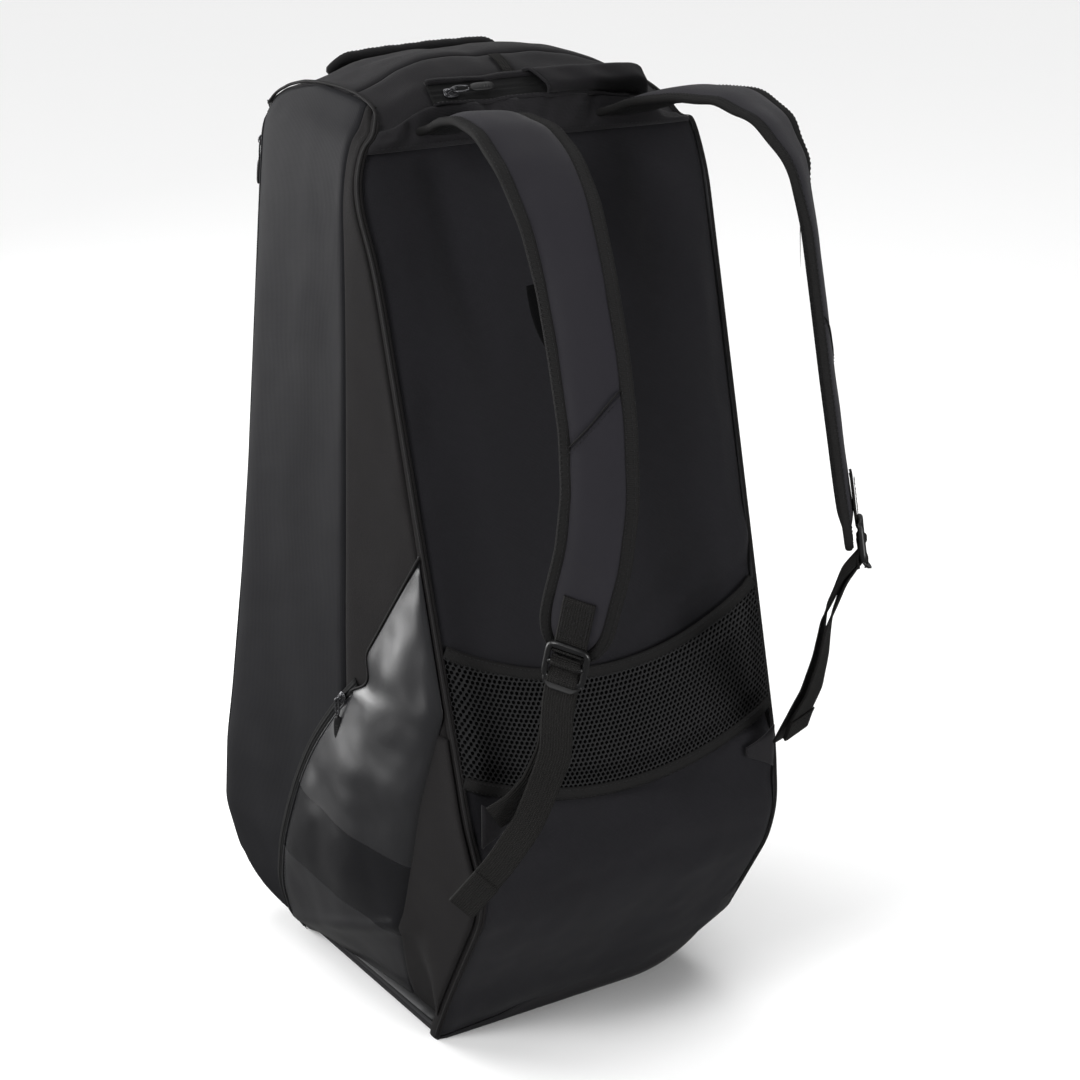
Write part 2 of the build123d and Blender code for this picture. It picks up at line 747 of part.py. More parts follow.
for side in ("left", "right"):
    save(shoulder_pad(side), f"{side}_shoulder_pad")
    save(strap_tab(side), f"{side}_strap_tab")
    save(ladder_buckle(side), f"{side}_ladder_buckle")
    save(webbing_strip(side, WEBBING_ROUTE[side]), f"{side}_lower_webbing")
    save(webbing_strip(side, TAIL_ROUTE[side]), f"{side}_webbing_tail")

ROOT_WIDTH, ROOT_DEPTH, ROOT_CORNER = 58, 5, 2
ROOT_CENTRE = (-82, -80.8, 752)
with BuildPart(Plane(origin=ROOT_CENTRE, x_dir=(1, 0, 0), z_dir=(0, -1, 0))) as strap_root:
    Box(ROOT_WIDTH, STRAP_THICKNESS, ROOT_DEPTH, align=(Align.CENTER, Align.CENTER, Align.MIN))
    fillet(strap_root.edges().filter_by(Axis.X), ROOT_CORNER)
save_pair(strap_root.part, "strap_root")

ANCHOR_THICKNESS = 2.4
ANCHOR_OUTLINE = [(6, -18), (6, 18), (34, 4), (24, -12)]
anchor_plane = Plane(origin=LOWER_ANCHOR, x_dir=(1, 0, 0), z_dir=(0, -1, 0))
with BuildPart() as strap_anchor:
    with BuildSketch(anchor_plane):
        with BuildLine():
            Polyline(*ANCHOR_OUTLINE, close=True)
        make_face()
    extrude(amount=ANCHOR_THICKNESS)
save_pair(strap_anchor.part, "strap_anchor_tab")

# ---- Grab handle on the crown ----
GRAB_SLOPE, GRAB_BEND = 14, 12
HANDLE_START = 1
grab_points = [
    (-GRAB_HALF, GRAB_Y, GRAB_PIVOT_Z + HANDLE_START),
    (-GRAB_HALF + GRAB_SLOPE, GRAB_Y, GRAB_PIVOT_Z + GRAB_RISE),
    (GRAB_HALF - GRAB_SLOPE, GRAB_Y, GRAB_PIVOT_Z + GRAB_RISE),
    (GRAB_HALF, GRAB_Y, GRAB_PIVOT_Z + HANDLE_START),
]
with BuildPart() as grab_handle:
    with BuildLine() as grab_line:
        FilletPolyline(*grab_points, radius=GRAB_BEND)
    with BuildSketch(Plane(origin=grab_line.line @ 0, z_dir=grab_line.line % 0)):
        Circle(GRAB_RADIUS)
    sweep()
save(grab_handle.part, "grab_handle")

GRAB_TAB = (12, 4, 8)
GRAB_TAB_Z = 758.4
with BuildPart() as grab_anchor_tabs:
    with Locations((-GRAB_HALF, GRAB_Y, GRAB_TAB_Z), (GRAB_HALF, GRAB_Y, GRAB_TAB_Z)):
        Box(*GRAB_TAB)
save(grab_anchor_tabs.part, "grab_anchor_tabs")

# ---- Carry handle on the front, turning about an upright axis ----
carry_low, carry_high = CARRY_CENTRE_Z - CARRY_HALF, CARRY_CENTRE_Z + CARRY_HALF
CARRY_SLOPE, CARRY_BEND = 24, 14
carry_points = [
    (0, CARRY_PIVOT_Y + HANDLE_START, carry_low),
    (0, CARRY_PIVOT_Y + CARRY_STANDOFF, carry_low + CARRY_SLOPE),
    (0, CARRY_PIVOT_Y + CARRY_STANDOFF, carry_high - CARRY_SLOPE),
    (0, CARRY_PIVOT_Y + HANDLE_START, carry_high),
]
with BuildPart() as carry_handle:
    with BuildLine() as carry_line:
        FilletPolyline(*carry_points, radius=CARRY_BEND)
    with BuildSketch(Plane(origin=carry_line.line @ 0, z_dir=carry_line.line % 0)):
        Circle(CARRY_RADIUS)
    sweep()
save(carry_handle.part, "carry_handle")


def front_y(z):
    """Depth of the front wall's outer face."""
    return between(FRONT_EDGE, z)[1]


CARRY_TAB = (26, 30)
CARRY_TAB_THICKNESS = 2
CARRY_TAB_OFFSET, CARRY_TAB_STAND = 24, 3.5
with BuildPart() as carry_anchor_tabs:
    for z in (carry_low - CARRY_TAB_OFFSET, carry_high + CARRY_TAB_OFFSET):
        with Locations((0, front_y(z) + CARRY_TAB_STAND, z)):
            Box(CARRY_TAB[0], CARRY_TAB_THICKNESS, CARRY_TAB[1])
save(carry_anchor_tabs.part, "carry_anchor_tabs")

# ---- Small hanging loop that lies flat on the crown just in front of the top zip ----
LOOP_WIDTH, LOOP_LENGTH, LOOP_THICKNESS = 9, 22, 3
LOOP_CENTRE_X = -12
crown_rise = Vector(0, *CROWN[2]) - Vector(0, *CROWN[1])
loop_plane = Plane(
    origin=Vector(LOOP_CENTRE_X, *CROWN[1]) + crown_rise / 2,
    x_dir=(1, 0, 0),
    z_dir=Vector(1, 0, 0).cross(crown_rise),
)
with BuildPart(loop_plane.offset(LAYER_GAP)) as hang_loop:
    Box(LOOP_WIDTH, LOOP_LENGTH, LOOP_THICKNESS, align=(Align.CENTER, Align.CENTER, Align.MIN))
save(hang_loop.part, "hang_loop")

print("built")
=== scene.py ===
"""Looks of the racket tournament bag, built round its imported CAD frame."""

import json
import math

import bpy
import numpy as np
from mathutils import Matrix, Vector, noise


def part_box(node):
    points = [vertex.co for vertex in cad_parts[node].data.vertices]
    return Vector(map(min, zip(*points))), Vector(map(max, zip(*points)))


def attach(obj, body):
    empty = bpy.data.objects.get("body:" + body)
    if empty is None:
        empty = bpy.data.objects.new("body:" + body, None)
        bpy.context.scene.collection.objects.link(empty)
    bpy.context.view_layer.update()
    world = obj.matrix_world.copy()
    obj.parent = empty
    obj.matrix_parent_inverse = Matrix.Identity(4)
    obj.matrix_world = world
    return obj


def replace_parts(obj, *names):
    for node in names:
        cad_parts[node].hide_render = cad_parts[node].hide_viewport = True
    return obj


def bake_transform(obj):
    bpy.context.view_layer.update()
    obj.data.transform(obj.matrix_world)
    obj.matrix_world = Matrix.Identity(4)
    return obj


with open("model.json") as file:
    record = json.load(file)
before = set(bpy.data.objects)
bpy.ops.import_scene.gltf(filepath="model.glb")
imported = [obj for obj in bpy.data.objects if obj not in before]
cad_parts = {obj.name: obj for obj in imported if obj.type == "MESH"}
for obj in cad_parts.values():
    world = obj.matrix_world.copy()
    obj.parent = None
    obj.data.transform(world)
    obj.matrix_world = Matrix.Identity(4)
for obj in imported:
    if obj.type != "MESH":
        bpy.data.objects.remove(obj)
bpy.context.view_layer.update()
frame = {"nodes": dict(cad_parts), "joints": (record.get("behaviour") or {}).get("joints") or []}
JOINTS = {joint["name"]: joint for joint in frame["joints"]}
MM = 0.001

# ---- The shell's edge tables, in millimetres, as in the CAD source ----
BACK_EDGE = [
    (0, 140, -138), (50, 141, -164), (150, 143, -222), (185, 145, -229), (235, 151, -216),
    (695, 159, -90), (725, 155, -82), (750, 147, -78), (772, 139, -74), (787, 133, -60),
]
FRONT_EDGE = [
    (0, 142, 104, 12), (28, 166, 150, 20), (62, 181, 170, 24), (110, 189, 184, 26),
    (180, 190, 172, 26), (235, 188, 159, 26), (350, 182, 141, 26), (445, 175, 134, 26),
    (735, 154, 124, 26), (752, 150, 112, 20), (768, 146, 86, 12), (780, 142, 46, 8),
    (787, 138, -4, 5),
]
SEAM_Y = -48  # seam between the gusset and the ribbed panel
HINGE_GAP = 9  # from the rear corner to the opening side
SMOOTH = 5  # step of the easing at each corner of the tables
SIDES = (("left", False), ("right", True))
SIGN = {"left": -1, "right": 1}


def profile(table, z):
    """Columns of an edge table at height z, with its corners eased."""
    heights = [row[0] for row in table]
    steps = [np.clip(z + k * SMOOTH, heights[0], heights[-1]) for k in (-2, -1, 0, 1, 2)]
    return [
        np.mean([np.interp(s, heights, [row[k] for row in table]) for s in steps], axis=0)
        for k in range(1, len(table[0]))
    ]


def corners(z):
    """Rear, shoulder and nose points of the left section at height z."""
    back_x, back_y = profile(BACK_EDGE, z)
    front_x, front_y, facet = profile(FRONT_EDGE, z)
    rear = np.array([-back_x, back_y])
    return rear, np.array([-front_x, front_y - facet]), np.array([-front_x + facet, front_y])


def mix(a, b, t):
    """Straight blend of two points or numbers."""
    return a + (b - a) * t


def ease(t):
    """Smooth step from 0 to 1."""
    t = np.clip(t, 0, 1)
    return t * t * (3 - 2 * t)


def unit(v):
    """Vectors of length one, along the last axis."""
    return v / np.linalg.norm(v, axis=-1, keepdims=True)


def toward(a, b, distance):
    """Point a distance from a towards b."""
    return a + (b - a) * distance / np.linalg.norm(b - a)


def run_of(line):
    """Distance along a line at each of its points."""
    return np.concatenate([[0], np.cumsum(np.linalg.norm(np.diff(line, axis=0), axis=1))])


def sample(s, run, rows):
    """Rows of numbers read at distances s along a line."""
    return np.stack([np.interp(s, run, rows[:, k]) for k in range(rows.shape[1])], axis=-1)


def tangents(line):
    """Unit tangents of a line."""
    return unit(np.gradient(line, axis=0))


def smooth_path(points, step, softness):
    """Even line through control points, more rounded the softer it is."""
    points = np.array(points, float)
    run = run_of(points)
    line = sample(np.linspace(0, run[-1], max(int(run[-1] / step), 8) + 1), run, points)
    for _ in range(4 * softness):
        line[1:-1] = 0.25 * line[:-2] + 0.5 * line[1:-1] + 0.25 * line[2:]
    return line


def flipped(points, mirror):
    """Points of the right side from those of the left."""
    return np.asarray(points) * [-1, 1, 1] if mirror else np.asarray(points)


def side_x(y, z):
    """X of the left side face at depth y and height z."""
    rear, shoulder, _ = corners(z)
    return mix(rear, shoulder, (y - rear[1]) / (shoulder[1] - rear[1]))[0]


def droop(points):
    """Slack of the real bag: arch seams below the crown, a lower right shoulder, round corners."""
    points = np.array(points, float)
    x, y, z = points[..., 0].copy(), points[..., 1].copy(), points[..., 2].copy()
    seam = np.interp(y, [-100, -60, -30, 0, 46, 106], [15, 15, 10, 8, 4, 2])
    points[..., 2] -= seam * ease((np.abs(x) - 92) / 42) * ease((z - 738) / 34)
    points[..., 2] -= 11 * ease((x - 10) / 120) * ease((z - 728) / 50)
    full = np.exp(-(((z - 718) / 44) ** 2)) * ease((np.abs(x) - 112) / 30) * ease((-45 - y) / 35)
    points[..., 0] += np.sign(x) * 7 * full * (x < 0)
    low = np.clip((x - 56) / 86, 0, 1) ** 2 * np.clip(1 - z / 62, 0, 1) ** 1.3
    points[..., 0] -= 7 * low
    points[..., 2] += 28 * low
    return points


# ---- Materials ----
def node_maker(owner):
    """A short way to add nodes to a material or world and wire them."""
    tree = owner.node_tree

    def add(kind, inputs=(), **settings):
        made = tree.nodes.new("ShaderNode" + kind)
        for name, value in settings.items():
            setattr(made, name, value)
        for name, value in dict(inputs).items():
            if isinstance(value, bpy.types.NodeSocket):
                tree.links.new(value, made.inputs[name])
            else:
                made.inputs[name].default_value = value
        return made

    return add


def waves(add, coordinate, pitch, axis):
    """Bands of a given pitch in metres along one axis, from 0 to 1."""
    scale = 0.314 / pitch  # a wave texture of scale 1 repeats after pi / 10
    wave = add("TexWave", {"Vector": coordinate, "Scale": scale}, bands_direction=axis)
    return wave.outputs["Fac"]


def finish(name, color, rough, patterns=(), bump=0.3, depth=0.0004, mottle=0.16, sheen=0.0,
           coat=0.0, metal=0.0, source="UV", contrast=0.35, grain=900.0, bands=None, gloss=0.16):
    """A procedural material: threads or grain, mottled colour and worn roughness."""
    material = bpy.data.materials.new(name)
    material.use_nodes = True
    add = node_maker(material)
    shader = material.node_tree.nodes["Principled BSDF"]
    for socket, number in {"Metallic": metal, "Sheen Weight": sheen, "Sheen Roughness": 0.45, "Coat Weight": coat,
                           "Coat Roughness": 0.25, "Specular IOR Level": gloss}.items():
        shader.inputs[socket].default_value = number
    link = material.node_tree.links.new
    coordinate = add("TexCoord").outputs[source]
    place = add("TexCoord").outputs["Object"]
    height = add("TexNoise", {"Vector": place, "Scale": grain, "Detail": 2.0}).outputs["Fac"]
    for pitch, axis, weight in patterns:
        band = waves(add, coordinate, pitch, axis)
        height = add("Math", {0: band, 1: weight, 2: height}, operation="MULTIPLY_ADD").outputs[0]
    broad = add("TexNoise", {"Vector": place, "Scale": 14.0, "Detail": 4.0}).outputs["Fac"]
    shade = add("Math", {0: height, 1: contrast / (1 + sum(p[2] for p in patterns)), 2: 1 - contrast / 2},
                operation="MULTIPLY_ADD").outputs[0]
    tone = add("Math", {0: broad, 1: mottle * 2, 2: 1 - mottle}, operation="MULTIPLY_ADD").outputs[0]
    value = add("Math", {0: shade, 1: tone}, operation="MULTIPLY").outputs[0]
    base, rough_base = color, rough
    if bands:
        mask = bands(add, place)
        second_color, second_rough = bands.second
        base = add("Mix", {0: mask, 6: (*color, 1.0), 7: (*second_color, 1.0)}, data_type="RGBA").outputs[2]
        rough_base = add("Mix", {0: mask, 2: rough, 3: second_rough}).outputs[0]
    tint = add("VectorMath", {0: base, "Scale": value}, operation="SCALE")
    link(tint.outputs[0], shader.inputs["Base Color"])
    wear = add("Math", {0: broad, 1: 0.16, 2: -0.08}, operation="MULTIPLY_ADD").outputs[0]
    link(add("Math", {0: wear, 1: rough_base}, operation="ADD").outputs[0], shader.inputs["Roughness"])
    relief = add("Bump", {"Height": height, "Strength": bump, "Distance": depth})
    link(relief.outputs[0], shader.inputs["Normal"])
    return material


def stripe_mask(add, place):
    """One broad, generic band on each coated pocket, by depth and height in metres."""
    split = add("SeparateXYZ", {0: place})
    slant = add("Math", {0: split.outputs["Y"], 1: -0.12, 2: split.outputs["Z"]}, operation="MULTIPLY_ADD")
    away = add("Math", {0: slant.outputs[0], 1: 0.14}, operation="SUBTRACT").outputs[0]
    size = add("Math", {0: away}, operation="ABSOLUTE").outputs[0]
    return add("Math", {0: size, 1: 0.04}, operation="LESS_THAN").outputs[0]


stripe_mask.second = ((0.0026, 0.0026, 0.0036), 0.22)


def threads(pitch, weight=0.8):
    """Warp and weft at one pitch in metres."""
    return (pitch, "X", weight), (pitch, "Y", weight)


WEAVE = threads(0.0011)
MAIN = finish("heavy_weave", (0.0096, 0.009, 0.0103), 0.86, WEAVE, bump=0.45, sheen=0.05, contrast=0.8, grain=520.0)
# Darker copy of the heavy weave, darkened further as painted shade for the back panel, to match its darker upper
# part
SHADED_BACK = finish("back_weave", (0.0074, 0.0071, 0.0088), 0.86, WEAVE, bump=0.4, sheen=0.04, contrast=0.8, grain=520.0)
GUSSET = finish("gusset_weave", (0.0088, 0.0081, 0.0083), 0.9, WEAVE, bump=0.5, sheen=0.02, contrast=1.0,
                grain=480.0, gloss=0.07)
RIPSTOP = finish("ribbed_ripstop", (0.0102, 0.0102, 0.0115), 0.6, ((0.0021, "X", 1.6), (0.006, "Y", 0.25)),
                 bump=0.12, contrast=0.14, mottle=0.2, gloss=0.05)
COATED = finish("coated_fabric", (0.01, 0.01, 0.0112), 0.32, WEAVE, bump=0.1, depth=0.0002, contrast=0.1,
                coat=0.12, bands=stripe_mask, gloss=0.5)
STRAP = finish("strap_cover", (0.0108, 0.01, 0.0132), 0.78, threads(0.0008, 0.7), bump=0.25, sheen=0.07)
UNDER = finish("strap_underside", (0.008, 0.008, 0.0085), 0.9, threads(0.0026, 1.2), bump=0.6, depth=0.0008)
BINDING = finish("grosgrain", (0.007, 0.0067, 0.0067), 0.8, ((0.0013, "Y", 1.5),), bump=0.4)
WEBBING = finish("webbing", (0.0085, 0.008, 0.0076), 0.74, ((0.0021, "X", 1.6), (0.0016, "Y", 0.9)), bump=0.7,
                 depth=0.0007, contrast=0.8)
MESH = finish("air_mesh", (0.0125, 0.0125, 0.013), 0.7, ((0.0008, "X", 0.6),))
FOAM = finish("mesh_backing", (0.0022, 0.0022, 0.0024), 0.95, WEAVE, gloss=0.05)
PIPING = finish("piping", (0.008, 0.0075, 0.0077), 0.72, ((0.0012, "Y", 1.0),), bump=0.35)
TAPE = finish("zip_tape", (0.006, 0.006, 0.0062), 0.8, ((0.0009, "Y", 1.2),), bump=0.4)
COIL = finish("zip_coil", (0.005, 0.005, 0.0053), 0.42, ((0.0014, "Y", 2.0),), bump=0.8, depth=0.0006, gloss=0.35)
THREAD = finish("thread", (0.012, 0.0118, 0.0125), 0.7, ((0.0005, "X", 1.0),), source="Object")
METAL = finish("slider_metal", (0.075, 0.075, 0.08), 0.25, metal=0.75, bump=0.05, source="Object", contrast=0.1,
               gloss=0.5)
RUBBER = finish("puller_rubber", (0.005, 0.005, 0.0053), 0.5, bump=0.15, source="Object", contrast=0.15, gloss=0.4)
PLASTIC = finish("buckle_plastic", (0.0052, 0.0052, 0.0055), 0.38, bump=0.12, source="Object", contrast=0.12,
                 gloss=0.45)
WRAP = finish("handle_wrap", (0.0085, 0.0083, 0.009), 0.82, WEAVE, bump=0.4, sheen=0.04)
LINING = finish("lining", (0.035, 0.035, 0.037), 0.75, threads(0.0009), bump=0.25)
FOIL = finish("foil_lining", (0.42, 0.42, 0.44), 0.3, threads(0.012), bump=0.35, depth=0.001, metal=0.8, gloss=0.5)
BOARD = finish("board", (0.02, 0.02, 0.021), 0.5, bump=0.15, source="Object", gloss=0.3)


# ---- Mesh helpers. Every point array is in millimetres until it becomes a mesh ----
def make(name, points, faces, uvs, materials, body, picks=None):
    """Build one mesh piece, give it its materials and let it ride on its body, if it has one yet."""
    mesh = bpy.data.meshes.new(name)
    mesh.from_pydata([tuple(p) for p in np.asarray(points, float) * MM], [], faces)
    layer = mesh.uv_layers.new(name="UVMap")
    loops = np.zeros(len(mesh.loops), int)
    mesh.loops.foreach_get("vertex_index", loops)
    layer.data.foreach_set("uv", (np.asarray(uvs, float) * MM)[loops].ravel())
    for material in materials:
        mesh.materials.append(material)
    if picks is not None:
        mesh.polygons.foreach_set("material_index", picks)
    mesh.polygons.foreach_set("use_smooth", [True] * len(mesh.polygons))
    mesh.update()
    piece = bpy.data.objects.new(name, mesh)
    bpy.context.scene.collection.objects.link(piece)
    if body:
        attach(piece, body)
    return piece


def normals(grid, outward):
    """Unit normals of a grid, turned outwards."""
    n = np.cross(np.gradient(grid, axis=1), np.gradient(grid, axis=0))
    n /= np.maximum(np.linalg.norm(n, axis=2, keepdims=True), 1e-9)
    return -n if np.sum(n * np.asarray(outward, float)) < 0 else n


def rings_to_faces(count, sides, closed=False):
    """Faces between rings of points."""
    faces = []
    for i in range(count if closed else count - 1):
        n = (i + 1) % count
        for j in range(sides):
            k = (j + 1) % sides
            faces.append((i * sides + j, i * sides + k, n * sides + k, n * sides + j))
    return faces


def spans(grid):
    """Distance of every grid point along its row and its column."""
    across = np.linalg.norm(np.diff(grid, axis=1), axis=2)
    down = np.linalg.norm(np.diff(grid, axis=0), axis=2)
    u = np.concatenate([np.zeros((grid.shape[0], 1)), np.cumsum(across, axis=1)], axis=1)
    v = np.concatenate([np.zeros((1, grid.shape[1])), np.cumsum(down, axis=0)], axis=0)
    return u, v


def wobble(grid, size, seed=0.0):
    """Smooth noise at every grid point."""
    flat = grid.reshape(-1, 3) / size
    values = [noise.noise(Vector((p[0] + seed, p[1] - seed, p[2]))) for p in flat]
    return np.array(values).reshape(grid.shape[:2])


def skin(name, grid, n, thick, materials, body, slot, roll=(1, 1, 1, 1), depth=1.8, reach=5.0,
         puff=0.0, wrinkle=0.5, extra=0.0, mirror=False):
    """Fabric panel as a closed shell: edges rolled into their seams, slight pillow and wrinkles.

    roll flags the first row, last row, first column and last column.
    """
    u, v = spans(grid)
    width, height = u[:, -1:], v[-1:, :]
    edges = [v, height - v, u, width - u]
    offset = np.zeros(grid.shape[:2])
    for flag, distance in zip(roll, edges):
        if flag:
            offset -= depth * flag * np.clip(1 - distance / reach, 0, 1) ** 2
    bulge = ease(np.minimum(u, width - u) / (0.35 * width)) * ease(np.minimum(v, height - v) / 60)
    offset += puff * bulge
    calm = ease(np.minimum.reduce(np.broadcast_arrays(*edges)) / 14)
    offset += wrinkle * calm * (wobble(grid, 46, 3.1) * 1.6 + wobble(grid, 19, 7.7) * 0.6)
    offset += extra
    outer = grid + n * offset[..., None]
    inner = outer - n * thick
    outer, inner = (droop(flipped(points, mirror)) for points in (outer, inner))
    return shell(name, outer, inner, materials, body, slot, uv=(u, v))


def shell(name, outer, inner, materials, body, slot, uv=None):
    """Closed shell between two matching grids; a second material goes on the inner one."""
    rows, columns = outer.shape[:2]
    count = rows * columns
    index = np.arange(count).reshape(rows, columns)
    quads = np.stack([index[:-1, :-1], index[:-1, 1:], index[1:, 1:], index[1:, :-1]], axis=-1).reshape(-1, 4)
    back = quads[:, ::-1] + count
    loop = list(index[0, :]) + list(index[1:, -1]) + list(index[-1, -2::-1]) + list(index[-2:0:-1, 0])
    rim = np.array([(a, a + count, b + count, b) for a, b in zip(loop, loop[1:] + loop[:1])])
    faces = np.concatenate([quads, back, rim])
    i, j = rows // 2, columns // 2
    a, b, c = outer[i, j], outer[i, j + 1], outer[i + 1, j]
    if np.dot(np.cross(b - a, c - a), a - inner[i, j]) < 0:
        faces = faces[:, ::-1]
    uvs = np.stack(uv or spans(outer), axis=-1).reshape(-1, 2)
    picks = [0] * len(quads) + [len(materials) - 1] * len(back) + [0] * len(rim)
    return make(name, np.concatenate([outer.reshape(-1, 3), inner.reshape(-1, 3)]),
                faces.tolist(), np.concatenate([uvs, uvs]), materials, body, picks)


def tube(name, line, radius, material, body, sides=10, closed=False, flatten=1.0, sag=True, hint=None):
    """Tube round a line. radius is a number or one per point; flatten scales it across the hint."""
    line = np.array(line, float)
    t = unit(np.roll(line, -1, axis=0) - np.roll(line, 1, axis=0)) if closed else tangents(line)
    a = unit(np.cross(t, np.array((0.31, 0.83, 0.47) if hint is None else hint, float)))
    b = np.cross(t, a)
    radii = np.broadcast_to(np.asarray(radius, float), (len(line),)).copy()
    if not closed:
        radii[[0, -1]] *= 0.55
    turn = np.linspace(0, 2 * math.pi, sides, endpoint=False)
    rings = [line + radii[:, None] * (a * math.cos(w) + b * flatten * math.sin(w)) for w in turn]
    points = np.stack(rings, axis=1)
    if sag:
        points = droop(points)
    count = len(line)
    faces = rings_to_faces(count, sides, closed)
    if not closed:
        faces += [tuple(range(sides))[::-1], tuple(range((count - 1) * sides, count * sides))]
    uvs = np.stack(np.broadcast_arrays((turn * np.mean(radii))[None, :], run_of(line)[:, None]), axis=-1)
    return make(name, points.reshape(-1, 3), faces, uvs.reshape(-1, 2), [material], body)


def join(name, pieces, body):
    """One piece from several that share a body."""
    points, faces, uvs, picks, materials, smooth = [], [], [], [], [], []
    for piece in pieces:
        mesh = piece.data
        offset = len(points)
        points += [tuple(v.co / MM) for v in mesh.vertices]
        vertex_uv = [(0.0, 0.0)] * len(mesh.vertices)
        for loop, entry in zip(mesh.loops, mesh.uv_layers["UVMap"].data):
            vertex_uv[loop.vertex_index] = tuple(entry.uv / MM)
        uvs += vertex_uv
        for material in mesh.materials:
            if material not in materials:
                materials.append(material)
        for polygon in mesh.polygons:
            faces.append([k + offset for k in polygon.vertices])
            picks.append(materials.index(mesh.materials[polygon.material_index]))
            smooth.append(polygon.use_smooth)
        bpy.data.objects.remove(piece)
    piece = make(name, points, faces, uvs, materials, body, picks)
    piece.data.polygons.foreach_set("use_smooth", smooth)
    return piece


def stitches(name, line, outward, body, length=2.6, gap=1.3, radius=0.3, lift=-0.06, sag=True):
    """Row of raised stitches along a line; outward is one direction or one per point."""
    line = np.array(line, float)
    out = np.broadcast_to(np.asarray(outward, float), line.shape)
    run = run_of(line)
    turn = np.radians((0, 72, 144, 216, 288))
    points, faces = [], []
    for start in np.arange(0, run[-1] - length, length + gap):
        first, last = sample(start, run, line), sample(start + length, run, line)
        up = unit(sample(start, run, out))
        across = np.cross(unit(last - first), up)
        faces += [tuple(len(points) + k for k in face) for face in rings_to_faces(4, 5)]
        for share, size, rise in ((0, 0.35, -0.6), (0.25, 1, 0.5), (0.75, 1, 0.5), (1, 0.35, -0.6)):
            centre = mix(first, last, share) + up * (lift + radius * rise)
            points += [centre + radius * size * (across * math.cos(w) + up * math.sin(w)) for w in turn]
    points = np.array(points)
    if sag:
        points = droop(points)
    return make(name, points, faces, points[:, :2], [THREAD], body)


# ---- Camera and light ----
camera_data = bpy.data.cameras.new("camera")
camera_data.lens, camera_data.sensor_width = 78.33, 36  # millimetres
camera = bpy.data.objects.new("camera", camera_data)
camera.location = (-0.978, -1.636, 1.067)
camera.rotation_euler = (math.radians(70.1), 0, math.radians(-32.2))
bpy.context.scene.collection.objects.link(camera)
bpy.context.scene.camera = camera

# White behind the object, dimmer as light, dimmer still in reflections. A soft card low on the left, seen only in
# reflections, lights the coated pockets.
world = bpy.data.worlds.new("world")
world.use_nodes = True
add = node_maker(world)
rays = add("LightPath").outputs
seen = add("Math", {0: rays["Is Camera Ray"], 1: 0.68, 2: 0.32}, operation="MULTIPLY_ADD").outputs[0]
studio = add("Math", {0: rays["Is Glossy Ray"], 1: -0.17, 2: seen}, operation="MULTIPLY_ADD").outputs[0]
near_card = add("VectorMath", {0: add("TexCoord").outputs["Generated"], 1: (-0.66, 0.74, -0.10)},
                operation="DOT_PRODUCT").outputs["Value"]
card = add("MapRange", {"Value": near_card, "From Min": 0.93, "From Max": 0.995, "To Max": 3.2},
           interpolation_type="SMOOTHSTEP").outputs["Result"]
strength = add("Math", {0: card, 1: rays["Is Glossy Ray"], 2: studio}, operation="MULTIPLY_ADD").outputs[0]
backdrop = world.node_tree.nodes["Background"].inputs
backdrop["Color"].default_value = (1.0, 1.0, 1.0, 1.0)
world.node_tree.links.new(strength, backdrop["Strength"])
bpy.context.scene.world = world
bpy.context.scene.view_settings.view_transform = "Standard"


def area(name, place, target, size, power):
    """Soft rectangular light that points at a target."""
    data = bpy.data.lights.new(name, "AREA")
    data.size, data.energy = size, power
    lamp = bpy.data.objects.new(name, data)
    lamp.location = place
    lamp.rotation_euler = (Vector(target) - Vector(place)).to_track_quat("-Z", "Y").to_euler()
    bpy.context.scene.collection.objects.link(lamp)


# Key from the left and high up, fill low on the camera's side, rim behind on the left, wide light from above.
area("key", (-2.3, -0.6, 2.1), (0, 0, 0.4), 1.0, 60)
area("fill", (0.5, -2.3, 0.45), (0, -0.2, 0.1), 0.9, 29)
area("rim", (-1.25, 1.85, 0.85), (-0.17, -0.15, 0.3), 1.7, 50)
overhead = bpy.data.lights.new("overhead", "SUN")
overhead.energy, overhead.angle = 1.9, math.radians(60)
overhead_lamp = bpy.data.objects.new("overhead", overhead)
overhead_lamp.rotation_euler = (math.radians(-12), math.radians(10), 0)
bpy.context.scene.collection.objects.link(overhead_lamp)

floor_mesh = bpy.data.meshes.new("floor")
FLOOR_CORNERS = [(-9, -9, 0), (9, -9, 0), (9, 9, 0), (-9, 9, 0)]  # in metres
floor_mesh.from_pydata(FLOOR_CORNERS, [], [(0, 1, 2, 3)])
floor = bpy.data.objects.new("floor", floor_mesh)
floor_material = bpy.data.materials.new("floor")
floor_material.use_nodes = True
floor_shader = floor_material.node_tree.nodes["Principled BSDF"]
floor_shader.inputs["Base Color"].default_value = (0.98, 0.98, 0.98, 1)
floor_shader.inputs["Roughness"].default_value = 0.9
floor_mesh.materials.append(floor_material)
bpy.context.scene.collection.objects.link(floor)
floor.visible_glossy = False


# ---- Side faces: gusset, ribbed panel, coated pocket ----
def rows_between(low, high, step):
    """Even heights from low to high."""
    return np.linspace(low, high, max(int((high - low) / step), 2) + 1)


def side_grid(levels, sections):
    """Grid from one list of section points per height."""
    return np.array([[(p[0], p[1], z) for p in sections(z)] for z in levels])


def gusset_section(z):
    """Section of the gusset at height z."""
    rear, shoulder, _ = corners(z)
    start = toward(rear, shoulder, HINGE_GAP)
    end = np.array([side_x(SEAM_Y, z), SEAM_Y])
    return [mix(start, end, t) for t in np.linspace(0, 1, 25)]


